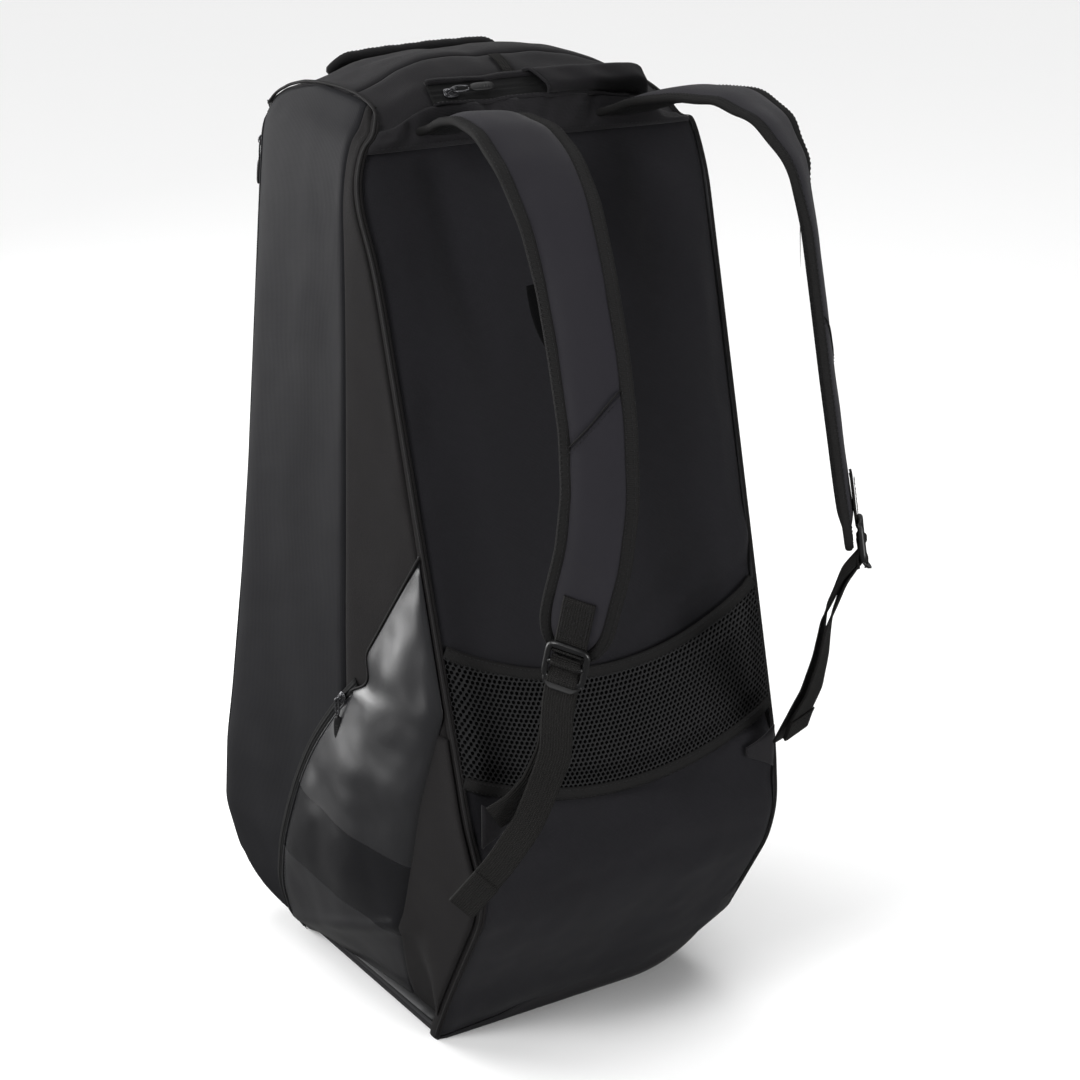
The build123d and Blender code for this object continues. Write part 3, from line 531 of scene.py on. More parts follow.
def ripstop_section(z):
    """Section of the ribbed panel: flat, round the shoulder, then to the main zip."""
    rear, shoulder, nose = corners(z)
    start = np.array([side_x(SEAM_Y, z), SEAM_Y])
    middle = mix(shoulder, nose, 0.5)
    bend = 0.6 * np.linalg.norm(middle - shoulder)
    before = toward(shoulder, rear, min(bend * 1.6, 0.8 * np.linalg.norm(shoulder - start)))
    after = toward(shoulder, nose, bend)
    flat = [mix(start, before, t) for t in np.linspace(0, 1, 27)]
    curve = [mix(mix(before, shoulder, t), mix(shoulder, after, t), t) for t in np.linspace(0.14, 1, 7)]
    return flat + curve + [mix(after, toward(middle, shoulder, 0.5), t) for t in (0.5, 1)]


side_levels = np.unique(np.concatenate([rows_between(0, 740, 7), rows_between(740, 784, 3)]))
gusset_grid = side_grid(side_levels, gusset_section)
ripstop_grid = side_grid(side_levels, ripstop_section)
OUT_LEFT = (-1, 0.1, 0)


def creased(grid):
    """Lowest part of the side tucks in below a slanting crease."""
    y, z = grid[..., 1], grid[..., 2]
    crease = 25 + (70 - y) * 0.41
    below = np.clip(crease - z, 0, 80)
    fade = ease((y + 150) / 30) * ease((96 - y) / 30)
    ridge = 3.2 * np.exp(-((z - crease) / 9) ** 2)
    return fade * (ridge * ease((z + 40) / 60) - 0.24 * below)


def flutes(grid, amount):
    """Long soft waves that run up the unstiffened side."""
    y, z = grid[..., 1], grid[..., 2]
    wave = np.sin(y / 13 + np.sin(z / 90) * 1.4) * 0.5 + np.sin(y / 29 + z / 160 + 1.3)
    return amount * wave * ease((z - 60) / 120) * ease((770 - z) / 120)


def relaxed(grid, amount=0.5):
    """Crease and flutes of the side together."""
    return creased(grid) + flutes(grid, amount)


for side, mirror in SIDES:
    body = f"{side}_side"
    gusset = skin(f"{side}_gusset_skin", gusset_grid, normals(gusset_grid, OUT_LEFT), 5, [GUSSET, LINING],
                  body, "main_fabric", roll=(0.4, 1, 0.8, 1), extra=relaxed(gusset_grid), mirror=mirror)
    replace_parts(gusset, f"{side}_side_gusset")
    panel = skin(f"{side}_ripstop_skin", ripstop_grid, normals(ripstop_grid, OUT_LEFT), 5, [RIPSTOP, LINING],
                 body, "ripstop", roll=(0.4, 1, 1, 0.6), extra=relaxed(ripstop_grid, 0.8), mirror=mirror)
    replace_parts(panel, f"{side}_side_panel")


# Arc of the pocket zip, and the slanting seam above it as heights and depths.
POCKET_CENTRE_Y, POCKET_CENTRE_Z, POCKET_RADIUS = -423.3, -73.9, 520
POCKET_FRONT = [(296, -59), (301, -66), (308, -80), (316, -86), (326, -84), (336, -82), (441, -157)]
POCKET_APEX = POCKET_FRONT[0][0]
EDGE_GAP = 4  # from the zip's line to the edge of the coated fabric


def zip_arc_y(z, radius):
    """Depth of an arc round the pocket zip's centre at height z."""
    return POCKET_CENTRE_Y + math.sqrt(radius**2 - (z - POCKET_CENTRE_Z) ** 2)


def heel_y(z):
    """Depth where the coated pocket stops and the plain fabric behind it starts."""
    rear, shoulder, _ = corners(z)
    return max(toward(rear, shoulder, HINGE_GAP - 2)[1], -181 + 0.34 * (303 - z))


def heel_section(z):
    """Section of the plain fabric between the rear corner and the coated pocket."""
    rear, shoulder, _ = corners(z)
    start = toward(rear, shoulder, HINGE_GAP - 2)[1]
    return [(side_x(y, z), y) for y in np.linspace(start, heel_y(z) + 3, 17)]


def pocket_front(z):
    """Depth where the coated pocket meets its zip or slanting seam."""
    return zip_arc_y(z, POCKET_RADIUS - EDGE_GAP) if z < POCKET_APEX else np.interp(z, *zip(*POCKET_FRONT))


def pocket_section(z):
    """Section of the coated pocket, from the plain fabric behind it to its front."""
    start = heel_y(z)
    return [(side_x(y, z), y) for y in np.linspace(start, max(pocket_front(z), start + 1.5), 33)]


def on_side(y, z, out):
    """Point on the left side skin, a distance outside it."""
    spot = np.array([[[side_x(y, z), y, z]]])
    lift = relaxed(spot)[0, 0]
    return np.array([side_x(y, z) - out - lift, y, z])


def strip(name, line, across, out, width, thick, materials, body, slot, rise=None, count=7, mirror=False):
    """Flat strip centred on a line; rise(q) lifts it across its width."""
    line, across, out = (np.asarray(a, float) for a in (line, across, out))
    q = np.linspace(-1, 1, count)
    lift = np.array([rise(k) if rise else 0.0 for k in q])
    top = line[:, None] + across[:, None] * (q[None, :, None] * width / 2) + out[:, None] * lift[None, :, None]
    faces = (droop(flipped(points, mirror)) for points in (top, top - out[:, None] * thick))
    return shell(name, *faces, materials, body, slot)


def line_frame(line, outward):
    """Across and outward directions of a strip that faces outward."""
    t = tangents(line)
    across = unit(np.cross(t, np.broadcast_to(np.asarray(outward, float), line.shape)))
    return across, np.cross(across, t)


def zip_profile(q):
    """Section of a closed reverse-coil zip: flat tapes, raised beads, groove between them."""
    a = abs(q)
    return 0.9 * math.exp(-((a - 0.24) / 0.13) ** 2) - 0.5 * math.exp(-((a / 0.07) ** 2))


def pocket_relief(grid):
    """The pocket bulges below its apex and has slanting pull folds."""
    y, z = grid[..., 1], grid[..., 2]
    front = np.array([pocket_front(k) for k in z[:, 0]])[:, None]
    rear = y[:, :1]
    share = np.clip((y - rear) / np.maximum(front - rear, 1), 0, 1)
    dome = (4 * share * (1 - share)) ** 0.8 * ease((z - 30) / 110) * ease((436 - z) / 150)
    fold = np.sin((y + 0.45 * z) / 15 + 1.2 * np.sin(z / 55)) * ease(z / 60) * 4 * share * (1 - share)
    return relaxed(grid) + 2.0 + 11.0 * dome + 1.3 * fold


pocket_grid = side_grid(rows_between(2, 440, 5), pocket_section)
heel_grid = side_grid(rows_between(2, 300, 5), heel_section)
pocket_arc = np.array([on_side(zip_arc_y(z, POCKET_RADIUS), z, 1.2) for z in np.linspace(3, 306, 76)])
pocket_edge = np.array([on_side(zip_arc_y(z, POCKET_RADIUS - 4.6), z, 1.6) for z in np.linspace(3, 294, 70)])
upper_edge = np.array([on_side(y, z, 2.0) for z, y in reversed(POCKET_FRONT)])
hood = smooth_path(upper_edge, 3, 1)
main_line = np.array([[*mix(*corners(z)[1:], 0.5), z] for z in np.linspace(60, 752, 130)])

def hinge_section(z):
    """Section of the fabric between the rear corner and the opening side."""
    rear, shoulder, _ = corners(z)
    return [toward(rear, shoulder, d) for d in np.linspace(-1, HINGE_GAP + 3, 7)]


for side, mirror in SIDES:
    body = f"{side}_side"
    facing = np.array([1.0 if mirror else -1.0, 0.0, 0.0])
    pocket = skin(f"{side}_pocket_skin", pocket_grid, normals(pocket_grid, OUT_LEFT), 1.4,
                  [COATED, LINING], body, "coated_fabric", roll=(0.3, 0.4, 0.6, 0.7), depth=1.6, reach=4,
                  extra=pocket_relief(pocket_grid), wrinkle=1.1, mirror=mirror)
    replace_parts(pocket, f"{side}_pocket_panel")
    heel = skin(f"{side}_pocket_heel", heel_grid, normals(heel_grid, OUT_LEFT), 1.4, [GUSSET, LINING], body,
                "main_fabric", roll=(0.3, 0.3, 0.6, 0.2), depth=1.6, reach=4, wrinkle=0.5, mirror=mirror,
                extra=relaxed(heel_grid) + 1.6)
    across, out = line_frame(pocket_arc, (-1, 0, 0))
    tape = strip(f"{side}_pocket_tape", pocket_arc, across, out, 10.5, 0.8, [TAPE], body, "zip_tape", zip_profile,
                 15, mirror)
    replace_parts(tape, f"{side}_pocket_zip_tape")
    tube(f"{side}_pocket_zip_welt", flipped(pocket_edge, mirror), 1.1, COATED, body, 8)
    tube(f"{side}_pocket_garage", flipped(hood, mirror), 1.2, PIPING, body, 8)
    run = flipped(pocket_edge + [-1.0, -5.0, 0], mirror)
    stitches(f"{side}_pocket_stitches", run, facing, body)

    across, out = line_frame(main_line, (-1, 1, 0))
    for part, sign in (("side", 1), ("front", -1)):
        centre = main_line + across * (sign * 5.0) + out * 0.9
        owner = body if part == "side" else "bag"
        band = strip(f"{side}_{part}_tape", centre, across, out, 8.6, 0.9, [TAPE], owner, "zip_tape",
                     lambda q, s=sign: 0.5 * max(0.0, -q * s) ** 2, 7, mirror)
        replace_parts(band, f"{side}_{part}_zip_tape")
        coil = main_line + across * (sign * 1.3) + out * 1.3
        ripple = 0.95 + 0.35 * np.sin(np.arange(len(coil) * 4) * math.pi / 2)
        fine = sample(np.linspace(0, 1, len(ripple)), np.linspace(0, 1, len(coil)), coil)
        tube(f"{side}_{part}_coil", flipped(fine, mirror), ripple, COIL, owner, 6)
        lip = main_line + across * (sign * 9.6) + out * 0.6
        cloth, slot = (RIPSTOP, "ripstop") if part == "side" else (MAIN, "main_fabric")
        tube(f"{side}_{part}_zip_lip", flipped(lip, mirror), 1.3, cloth, owner, 8)

    # Piping up the rear corner and over the arch of the side to the main zip.
    rear_line = [[*(corners(z)[0] + 0.8), z] for z in rows_between(3, 770, 9)]
    arch = [(-133, -62, 783), (-133, -40, 786), (-134, -10, 786.5), (-136.5, 20, 784.5), (-138.5, 46, 780),
            (-140.5, 70, 773.5), (-141.5, 92, 763.5), (-142.5, 106, 751)]
    cord_line = smooth_path(rear_line + arch, 4, 1)
    cord = tube(f"{side}_piping_tube", flipped(cord_line, mirror), 1.25, PIPING, "bag", 12)
    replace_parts(cord, f"{side}_back_piping")

    # Fabric between the piping and the opening side; the lower stretch rides on the bag, the upper stretch has no
    # body.
    for part, low, high in (("corner", 0, 196), ("hinge", 194, 776)):
        grid = side_grid(rows_between(low, high, 8), hinge_section)
        held = "bag" if part == "corner" else None
        piece = skin(f"{side}_{part}_strip", grid, normals(grid, OUT_LEFT), 1.5, [GUSSET, LINING], held,
                     "main_fabric", roll=(0, 0, 0.5, 0.5), extra=-1.4, wrinkle=0.2, mirror=mirror)
        if part == "hinge":
            start, end = (flipped(p, mirror) * MM for p in ((-158, -97, 670), (-158.3, -87.5, 667.4)))
            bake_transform(piece)

# ---- Back: padded panel, mesh band with bound edges, yoke ----
BACK_OUT = (0, -1, 0)


def back_y(z):
    """Depth of the back face at height z."""
    return corners(z)[0][1]


def back_grid(levels, margin, columns):
    """Grid across the back face, a margin inside its rear corners."""
    rows = []
    for z in levels:
        half = -corners(z)[0][0] - margin
        rows.append([(x, back_y(z), z) for x in np.linspace(-half, half, columns)])
    return np.array(rows)


def low_arc(x):
    """Lower edge of the mesh band."""
    return 240 + 34 * (x / 150) ** 2


def high_arc(x):
    """Upper edge of the mesh band."""
    return 322 + 42 * (x / 150) ** 2


def back_relief(grid):
    """Padded fields, the groove of the mesh band and soft folds of the back."""
    x, z = grid[..., 0], grid[..., 2]
    side = 1 - np.abs(x / 150) ** 3
    band = ease((z - low_arc(x) + 12) / 10) * ease((high_arc(x) + 12 - z) / 10)
    upper = ease((z - high_arc(x) - 10) / 70) * ease((742 - z) / 60)
    lower = ease((low_arc(x) - 10 - z) / 60) * ease(z / 40)
    pads = side * (9.0 * upper + 6.0 * lower) - 1.6 * band
    hollow = -9.0 * np.exp(-(((x + 92 - 0.10 * (720 - z)) / 17) ** 2)) * ease((z - 520) / 120) * ease((744 - z) / 30)
    hollow += -6.0 * np.exp(-(((x - 92) / 20) ** 2)) * ease((z - 600) / 90) * ease((744 - z) / 30)
    folds = 4.6 * np.sin(x / 19 + np.sin(z / 64) * 1.5) * ease((x - 25) / 70) * ease((z - 360) / 80)
    folds += 3.4 * np.sin((x + 0.5 * z) / 24) * ease((-60 - x) / 40) * ease((z - 470) / 120)
    folds *= ease((735 - z) / 60) * ease((148 - np.abs(x)) / 20)
    creases = 4.6 * np.sin((z + 0.35 * x + 5 * np.sin(x / 25)) / 10.5) * ease((x + 60) / 90)
    creases *= np.exp(-(((z - low_arc(x) + 40) / 34) ** 2))
    pulls = 4.0 * np.sin((z - 0.6 * x) / 12) * np.exp(-(((z - high_arc(x) - 34) / 26) ** 2)) * ease((x - 10) / 60)
    broad = 7.0 * wobble(grid, 95, 21.0) * ease((150 - np.abs(x)) / 30) * (upper + lower)
    return pads + hollow + folds + creases + pulls + broad


grid = back_grid(rows_between(0, 742, 5), 3.4, 85)
back = skin("back_skin", grid, normals(grid, BACK_OUT), 8, [SHADED_BACK, LINING], "bag", "main_fabric",
            roll=(0.3, 1, 1, 1), depth=2.8, reach=11, wrinkle=1.3, extra=back_relief(grid))
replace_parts(back, "back_panel")


def base_curve(x):
    """Height of the seam between the back panel and the base wrap."""
    return np.interp(x, [-141, -78, 50, 106, 130, 145], [2, 7, 53, 75, 89, 99])


def wrap_point(x, share):
    """Point of the base wrap, a share of the way up to its seam."""
    z = mix(1.0, base_curve(x), share)
    return (x, back_y(z), z)


wrap_grid = np.array([[wrap_point(x, s) for x in np.linspace(-136, 138, 50)] for s in np.linspace(0, 1, 12)])
wrap = skin("base_wrap", wrap_grid, normals(wrap_grid, BACK_OUT), 1.2, [MAIN], "bag", "main_fabric",
            roll=(0, 0.5, 0.6, 0.6), reach=4, extra=2.4, wrinkle=0.6)

# Air mesh: honeycomb threads with open holes over a dark backing.
PITCH = 4.4  # from hole to hole
SQUASH = 0.92  # height of a hole over its width
HEX_WIDTH = 1.732  # width of a hexagon over its side
HEX_ROWS = 0.866  # step between rows of hexagons over their width


def band_point(x, z, out):
    """Point outside the back face."""
    return (x, back_y(z) - out, z)


def air_mesh():
    """Honeycomb of threads across the lumbar band."""
    points, faces, shared = [], [], {}

    def corner(x, z, out, common):
        key = (round(x, 0), round(z, 0)) if common else len(points)
        if key not in shared:
            shared[key] = len(points)
            points.append(band_point(x, z, out))
        return shared[key]

    for row in range(31):
        for column in range(-35, 36):
            x = column * PITCH + (row % 2) * PITCH / 2
            z = low_arc(x) - 3 + row * PITCH * HEX_ROWS * SQUASH
            edge = -corners(low_arc(x))[0][0] - 3.5 - abs(x)
            if edge < 0 or z > high_arc(x) + 3:
                continue
            rise = 3.6 + 2.2 * ease((z - low_arc(x)) / 18) * ease((high_arc(x) - z) / 18)
            rise *= mix(0.3, 1.0, ease(edge / 16))
            rings = []
            for share, out in ((1.0, rise), (0.80, rise + 0.3), (0.74, rise - 1.2)):
                ring = []
                for k in range(6):
                    a = math.radians(60 * k + 30)
                    reach = share * PITCH / HEX_WIDTH
                    px = x + reach * math.cos(a)
                    pz = z + (low_arc(px) - low_arc(x)) + reach * math.sin(a) * SQUASH
                    ring.append(corner(px, pz, out, share == 1.0))
                rings.append(ring)
            for outer_ring, inner_ring in zip(rings, rings[1:]):
                for k in range(6):
                    n = (k + 1) % 6
                    quad = (outer_ring[k], outer_ring[n], inner_ring[n], inner_ring[k])
                    if len(set(quad)) == 4:
                        faces.append(quad)
    points = np.array(points)
    return make("lumbar_air_mesh", points, faces, points[:, [0, 2]], [MESH], "bag")


mesh_piece = air_mesh()
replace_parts(mesh_piece, "lumbar_mesh_pad")
backing = np.array([[band_point(x, mix(low_arc(x) - 4, high_arc(x) + 4, s), 0) for x in np.linspace(-148, 148, 60)]
                    for s in np.linspace(0, 1, 16)])
pad = skin("lumbar_backing", backing, normals(backing, BACK_OUT), 3, [FOAM], "bag", "air_mesh",
           roll=(1, 1, 1, 1), extra=1.2, puff=2.0, wrinkle=0.4)

for part, arc, shift in (("upper", high_arc, 5), ("lower", low_arc, -5)):
    xs = np.linspace(-148.5, 148.5, 90)
    line = np.array([band_point(x, arc(x) + shift, 4.0 - 3.2 * ease((abs(x) - 137) / 12)) for x in xs])
    across, out = line_frame(line, BACK_OUT)
    bound = strip(f"lumbar_{part}_binding", line, across, out, 10.5, 2.2, [BINDING], "bag", "binding",
                  lambda q: 0.9 - 1.7 * abs(q) ** 3, 9)
    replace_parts(bound, f"lumbar_binding_{part}")
    for edge in (-3.6, 3.6):
        stitches(f"lumbar_{part}_stitch_{'a' if edge < 0 else 'b'}", line + across * edge + out * 0.55, BACK_OUT,
                 "bag")


def gathers(grid):
    """Folds where the straps pull the yoke."""
    x, z = grid[..., 0], grid[..., 2]
    relief = 0 * x
    for centre, lean, size, height in ((-131, 0.5, 7, 3.0), (-117, 0.2, 5, -2.4), (-45, -0.5, 5, 2.6),
                                       (-30, -0.7, 6, -2.6), (-16, -0.2, 4, 2.2), (4, 0.5, 6, -1.8),
                                       (30, 0.6, 8, 2.0), (47, 0.3, 5, -2.2), (120, -0.4, 7, 2.2)):
        relief = relief + height * np.exp(-((x - centre - lean * (z - 745)) / size) ** 2)
    return relief * ease((z - 738) / 14)


yoke_grid = back_grid(rows_between(738, 768, 2), 3.4, 121)
yoke = skin("yoke_skin", yoke_grid, normals(yoke_grid, BACK_OUT), 2.4, [MAIN, LINING], "bag", "main_fabric",
            roll=(1, 0.3, 1, 1), depth=2.2, reach=5, extra=gathers(yoke_grid) + 2.4, wrinkle=1.0)
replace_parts(yoke, "yoke_panel")
seam_line = np.array([[x, back_y(742) - 3.4, 742.5] for x in np.linspace(-140, 140, 80)])
stitches("yoke_stitches", seam_line, BACK_OUT, "bag")

# ---- Crown, with its seam, top zip and hanging loop ----
# Depth, height and half width along its profile.
CROWN = [(-78, 762, 142), (-74, 767, 140.5), (-60, 782, 134.5), (-30, 787, 133.5), (-4, 787, 135),
         (46, 780, 138), (86, 768, 140), (111, 753, 141)]


def crown_grid(first, last, step, columns):
    """Grid across the crown between two distances along its profile."""
    path = smooth_path(CROWN, step, 1)
    rows = sample(np.linspace(first, last, int((last - first) / step) + 1), run_of(path[:, :2]), path)
    return np.array([[(x, y, z) for x in np.linspace(-half, half, columns)] for y, z, half in rows])


def crumple(grid, amount):
    """Uneven folds of the slack crown."""
    x, y, z = grid[..., 0], grid[..., 1], grid[..., 2]
    folds = np.sin(x / 17 + np.sin(y / 26) * 1.7) + 0.7 * np.sin(y / 11 + x / 60)
    edge = ease((130 - np.abs(x)) / 26) * mix(ease((z - 780) / 6), 1.0, ease((y + 58) / 10))
    return amount * (folds * 0.8 + 2.2 * wobble(grid, 30, 9.0)) * edge


def crown_rise(x, y):
    """Height of the padded crown above its edges."""
    return 12.5 * ease((128 - np.abs(x)) / 80) * ease((np.asarray(y) + 62) / 46) * ease((106 - np.asarray(y)) / 44)


UPWARD = (0, 0.1, 1)
for name, first, last, node in (("crown_rear", 0, 62, None), ("crown_main", 62.5, 209, "top_panel")):
    grid = crown_grid(first, last, 4, 81)
    rise = crown_rise(grid[..., 0], grid[..., 1])
    flat = -0.9 * ease((782 - grid[..., 2]) / 4) * ease((-55 - grid[..., 1]) / 8)
    piece = skin(name, grid, normals(grid, UPWARD), 4, [MAIN, LINING], "bag", "main_fabric",
                 roll=(0.8, 0.8, 1, 1), depth=2.6, reach=7, extra=crumple(grid, 1.2) + rise + flat, wrinkle=1.2)
    if node:
        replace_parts(piece, node)


TOP_OUT = np.array([0, -0.733, 0.68])
TOP_UP = np.array([0, 0.68, 0.733])
top_zip_line = np.array([[x, -66.4, 775.2] for x in np.linspace(-90, 90, 91)])
across, out = line_frame(top_zip_line, TOP_OUT)
tape = strip("top_tape", top_zip_line + TOP_OUT * 1.6, across, out, 18, 1.0, [TAPE], "bag", "zip_tape",
             zip_profile, 15)
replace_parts(tape, "top_zip_tape")
for name, shift, size in (("top_zip_hood", 10.5, 2.6), ("top_zip_lip", -10.0, 1.8)):
    ripple = np.sin(np.arange(91) / 5.0) * 0.9 + np.sin(np.arange(91) / 2.3) * 0.3
    line = top_zip_line + TOP_UP * (shift + ripple[:, None] * 0.5) + TOP_OUT * (1.8 + 0.5 * ripple[:, None])
    tube(name, line, size, MAIN, "bag", 10)
    stitches(f"{name}_stitches", line + TOP_OUT * size - TOP_UP * np.sign(shift) * 0.6, TOP_OUT, "bag")

flap_rows = []
for share in np.linspace(0, 1, 40):
    row = []
    for w in np.linspace(-1, 1, 19):
        x = mix(5 - 8 * w, 113, share)
        mouth = 1 - 0.18 * math.exp(-share * 14)
        lowered = 11 * ease((x - 10) / 120)  # as much as the right shoulder droops
        height = (11.0 + 0.5 * lowered) * (1 - abs(w) ** 6) * mouth * ease((1 - share) / 0.09) + 1.2
        height += 0.7 * math.sin(x / 6 + 2 * w) * (1 - w * w)
        row.append(np.array([x, -66.4, 775.2]) + TOP_UP * (11.5 * w + 1.5 + 0.5 * lowered) + TOP_OUT * height)
    flap_rows.append(row)
flap_grid = np.array(flap_rows)
flap_n = normals(flap_grid, TOP_OUT)
flap = shell("top_zip_flap", droop(flap_grid), droop(flap_grid - flap_n * 1.1), [MAIN, LINING], "bag", "main_fabric")
mouth_line = flap_grid[0] + flap_n[0] * 0.2
tube("top_zip_flap_hem", mouth_line, 1.1, MAIN, "bag", 8)
stitches("top_zip_flap_stitches", flap_grid[1] + flap_n[1] * 0.1, TOP_OUT, "bag")

loop_low, loop_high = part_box("hang_loop")
loop_x = (loop_low.x + loop_high.x) / 2 / MM
loop_route = smooth_path([(loop_x, y, z + crown_rise(loop_x, y)) for y, z in
                          ((-58, 784.5), (-54, 787.5), (-46, 789.4), (-38, 789.8), (-33, 788.6))], 1.5, 1)
loop_across = np.broadcast_to([1.0, 0, 0], loop_route.shape)
loop = strip("hanging_loop", loop_route, loop_across, line_frame(loop_route, (0, 0, 1))[1], 9, 1.4, [WEBBING], "bag",
             "webbing", None, 5)
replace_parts(loop, "hang_loop")


# ---- Zip sliders and pullers ----
def rounded_block(name, size, centre, axes, material, slot, power, columns=20, rows=12):
    """Pillow-like block: a superellipsoid with its half sizes, middle and axes."""
    points = []
    for i in range(rows + 1):
        v = math.pi * (i / rows - 0.5)
        for j in range(columns):
            u = 2 * math.pi * j / columns
            raw = (math.cos(v) * math.cos(u), math.cos(v) * math.sin(u), math.sin(v))
            norm = sum(abs(c) ** power for c in raw) ** (1 / power)
            points.append(centre + sum((a * (c / norm) * s for a, c, s in zip(axes, raw, size)), np.zeros(3)))
    points = np.array(points)
    return make(name, points, rings_to_faces(rows + 1, columns), points[:, :2], [material], None)


def oval(centre, a, b, half_a, half_b, count=28, power=2.6):
    """Closed racetrack line in the plane of two axes."""
    turn = np.linspace(0, 2 * math.pi, count, endpoint=False)
    c, s = np.cos(turn), np.sin(turn)
    norm = (np.abs(c) ** power + np.abs(s) ** power) ** (-1 / power)
    return centre + (c * norm)[:, None] * a * half_a + (s * norm)[:, None] * b * half_b


PIN_HEIGHT = 5.4  # of a puller's pin above the zip


def zip_hardware(name, pin, along, run, out, mirror=False, turn=0.0):
    """Slider with its bridge, wire loop and ribbed rubber tab, round the joint's pin.

    along is the tab's direction, run the zip's; turn tips the tab's face to the rear.
    """
    across = np.cross(out, along)
    foot = pin - out * PIN_HEIGHT
    side = np.cross(out, run)

    def block(part, size, centre, axes, *rest):
        axes = [flipped(a, mirror) for a in axes]
        return rounded_block(f"{name}_{part}", size, flipped(centre, mirror), axes, *rest)

    def wire(part, line, radius, material, sides, closed=False):
        return tube(f"{name}_{part}", flipped(line, mirror), radius, material, None, sides, closed, sag=False)

    parts = [block("slider_plate", size, foot + out * shift, (run, side, out), METAL, "zip_metal", 4.0)
             for shift, size in ((0.9, (6.4, 4.3, 1.0)), (1.9, (5.6, 3.4, 0.7)))]
    bridge = [foot + run * x + out * z
              for x, z in ((-4.8, 1.8), (-4.0, 4.6), (-1.8, 7.0), (1.8, 7.0), (4.0, 4.6), (4.8, 1.8))]
    parts.append(wire("bridge", smooth_path(bridge, 0.9, 1), 1.0, METAL, 8))
    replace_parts(join(f"{name}_zip_slider", parts, f"{name}_slider_body"), f"{name}_slider")

    parts = [wire("ring", oval(pin + along * 6.6, along, across, 7.4, 2.5), 0.75, METAL, 8, True)]
    cords = [pin + along * x + across * y + out * z
             for x, y, z in ((12.6, -0.9, 0), (15, -1.0, 0.3), (18, -0.8, 0.2))]
    for line in (cords, [c - across * 2 * np.dot(c - pin, across) for c in cords]):
        parts.append(wire("cord", smooth_path(line, 1, 0), 0.8, PIPING, 6))
    centre = pin + along * 25.8
    rearward = np.array([0.0, -1.0, 0.0])
    face = unit(out + turn * (rearward - along * np.dot(along, rearward)))
    width = np.cross(face, along)
    parts.append(block("tab", (10.6, 3.7, 1.7), centre, (along, width, face), RUBBER, "puller_rubber", 3.4, 28, 14))
    for k in range(5):
        rib = [centre + along * (2.2 * k - 2.4) + width * y + face * 1.6 * (1 - (y / 4.6) ** 2)
               for y in (-2.6, -1.3, 0, 1.3, 2.6)]
        parts.append(wire("rib", np.array(rib), 0.45, RUBBER, 6))
    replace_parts(join(f"{name}_zip_puller", parts, f"{name}_puller_body"), f"{name}_puller")


def joint_point(name):
    """A joint's pin, in millimetres."""
    return np.array(JOINTS[name]["pos_m"]) / MM


def joint_axis(name):
    """A joint's direction."""
    return np.array(JOINTS[name]["axis"], float)


for side, mirror in SIDES:
    down = joint_axis("left_main_zip_slide")
    zip_hardware(f"{side}_main", joint_point("left_main_puller_lift"), down, down,
                 np.cross(down, -joint_axis("left_main_puller_lift")), mirror)
    pin = joint_point("left_pocket_puller_lift")
    axis = joint_axis("left_pocket_zip_slide")
    out = axis * -np.sign(axis[0])
    run = unit(np.cross(axis, pin - joint_point("left_pocket_zip_slide")))
    zip_hardware(f"{side}_pocket", pin, np.cross(-joint_axis("left_pocket_puller_lift"), out), run, out, mirror, 0.8)
along = joint_axis("top_zip_slide")
zip_hardware("top", joint_point("top_puller_lift"), along, along, np.cross(along, -joint_axis("top_puller_lift")))

# ---- Shoulder straps ----
STRAP_ROUTE = {
    "left": [
        (-82, -79, 751), (-82, -97, 756), (-84, -109, 760), (-86, -124, 765), (-86, -152, 770),
        (-88, -190, 766), (-90, -226, 748), (-92, -256, 718), (-95, -281, 676),
        (-98, -302, 628), (-100, -318, 578), (-102, -325, 528), (-103, -318, 478),
        (-104, -303, 436), (-104, -297, 417), (-104, -292, 400), (-104, -289, 391),
    ],
    "right": [
        (82, -79, 751), (82, -97, 756), (85, -109, 761), (89, -124, 767), (95, -158, 774),
        (100, -205, 777), (102, -245, 765), (103, -275, 738), (103, -292, 694),
        (103, -306, 642), (103, -320, 588), (103, -332, 545), (103, -342, 508),
        (103, -349, 486), (103, -353, 472), (103, -355, 463), (103, -356, 458),
    ],
}
STRAP_HALF = 30
STRAP_TWIST = 52  # degrees, from the root to the lower end
EDGE = 8.0  # width of the bound edge
STRAP_SEAM, SEAM_SLANT = 345, 0.9  # place along the strap, and its slope


def turned(line, angle, sign):
    """Across direction of a band along a line, turned from sideways by an angle at each point."""
    facing = np.stack([np.cos(angle), sign * np.sin(angle), 0 * angle], axis=1)
    t = tangents(line)
    return unit(facing - t * np.sum(facing * t, axis=1, keepdims=True))


def strap_frames(side):
    """Line of a shoulder strap with its across and outward directions and its run."""
    route = np.array(STRAP_ROUTE[side], float)
    line = smooth_path(route, 4, 2)
    run = run_of(line)
    marks = run_of(route)
    marks *= run[-1] / marks[-1]
    twist = [math.radians(STRAP_TWIST * min(max((k - 2) / 6, 0), 1)) for k in range(len(route))]
    across = turned(line, np.interp(run, marks, twist), SIGN[side])
    out = np.cross(tangents(line), across)
    if out[len(out) // 2][1] > 0:
        out = -out
    return line, across, out, run


def strap_point(frames, x, s, rise):
    """A point on a strap from its flat place: x across, s along, rise outwards."""
    line, across, out, run = frames
    middle, sideways, outward = (sample(np.asarray(s, float), run, rows) for rows in (line, across, out))
    x, rise = np.asarray(x, float)[..., None], np.asarray(rise, float)[..., None]
    return middle + sideways * x + outward * rise


def strap_out(frames, s):
    """Outward directions of a strap at distances s."""
    return frames[2][np.searchsorted(frames[3], s).clip(0, len(frames[3]) - 1)]


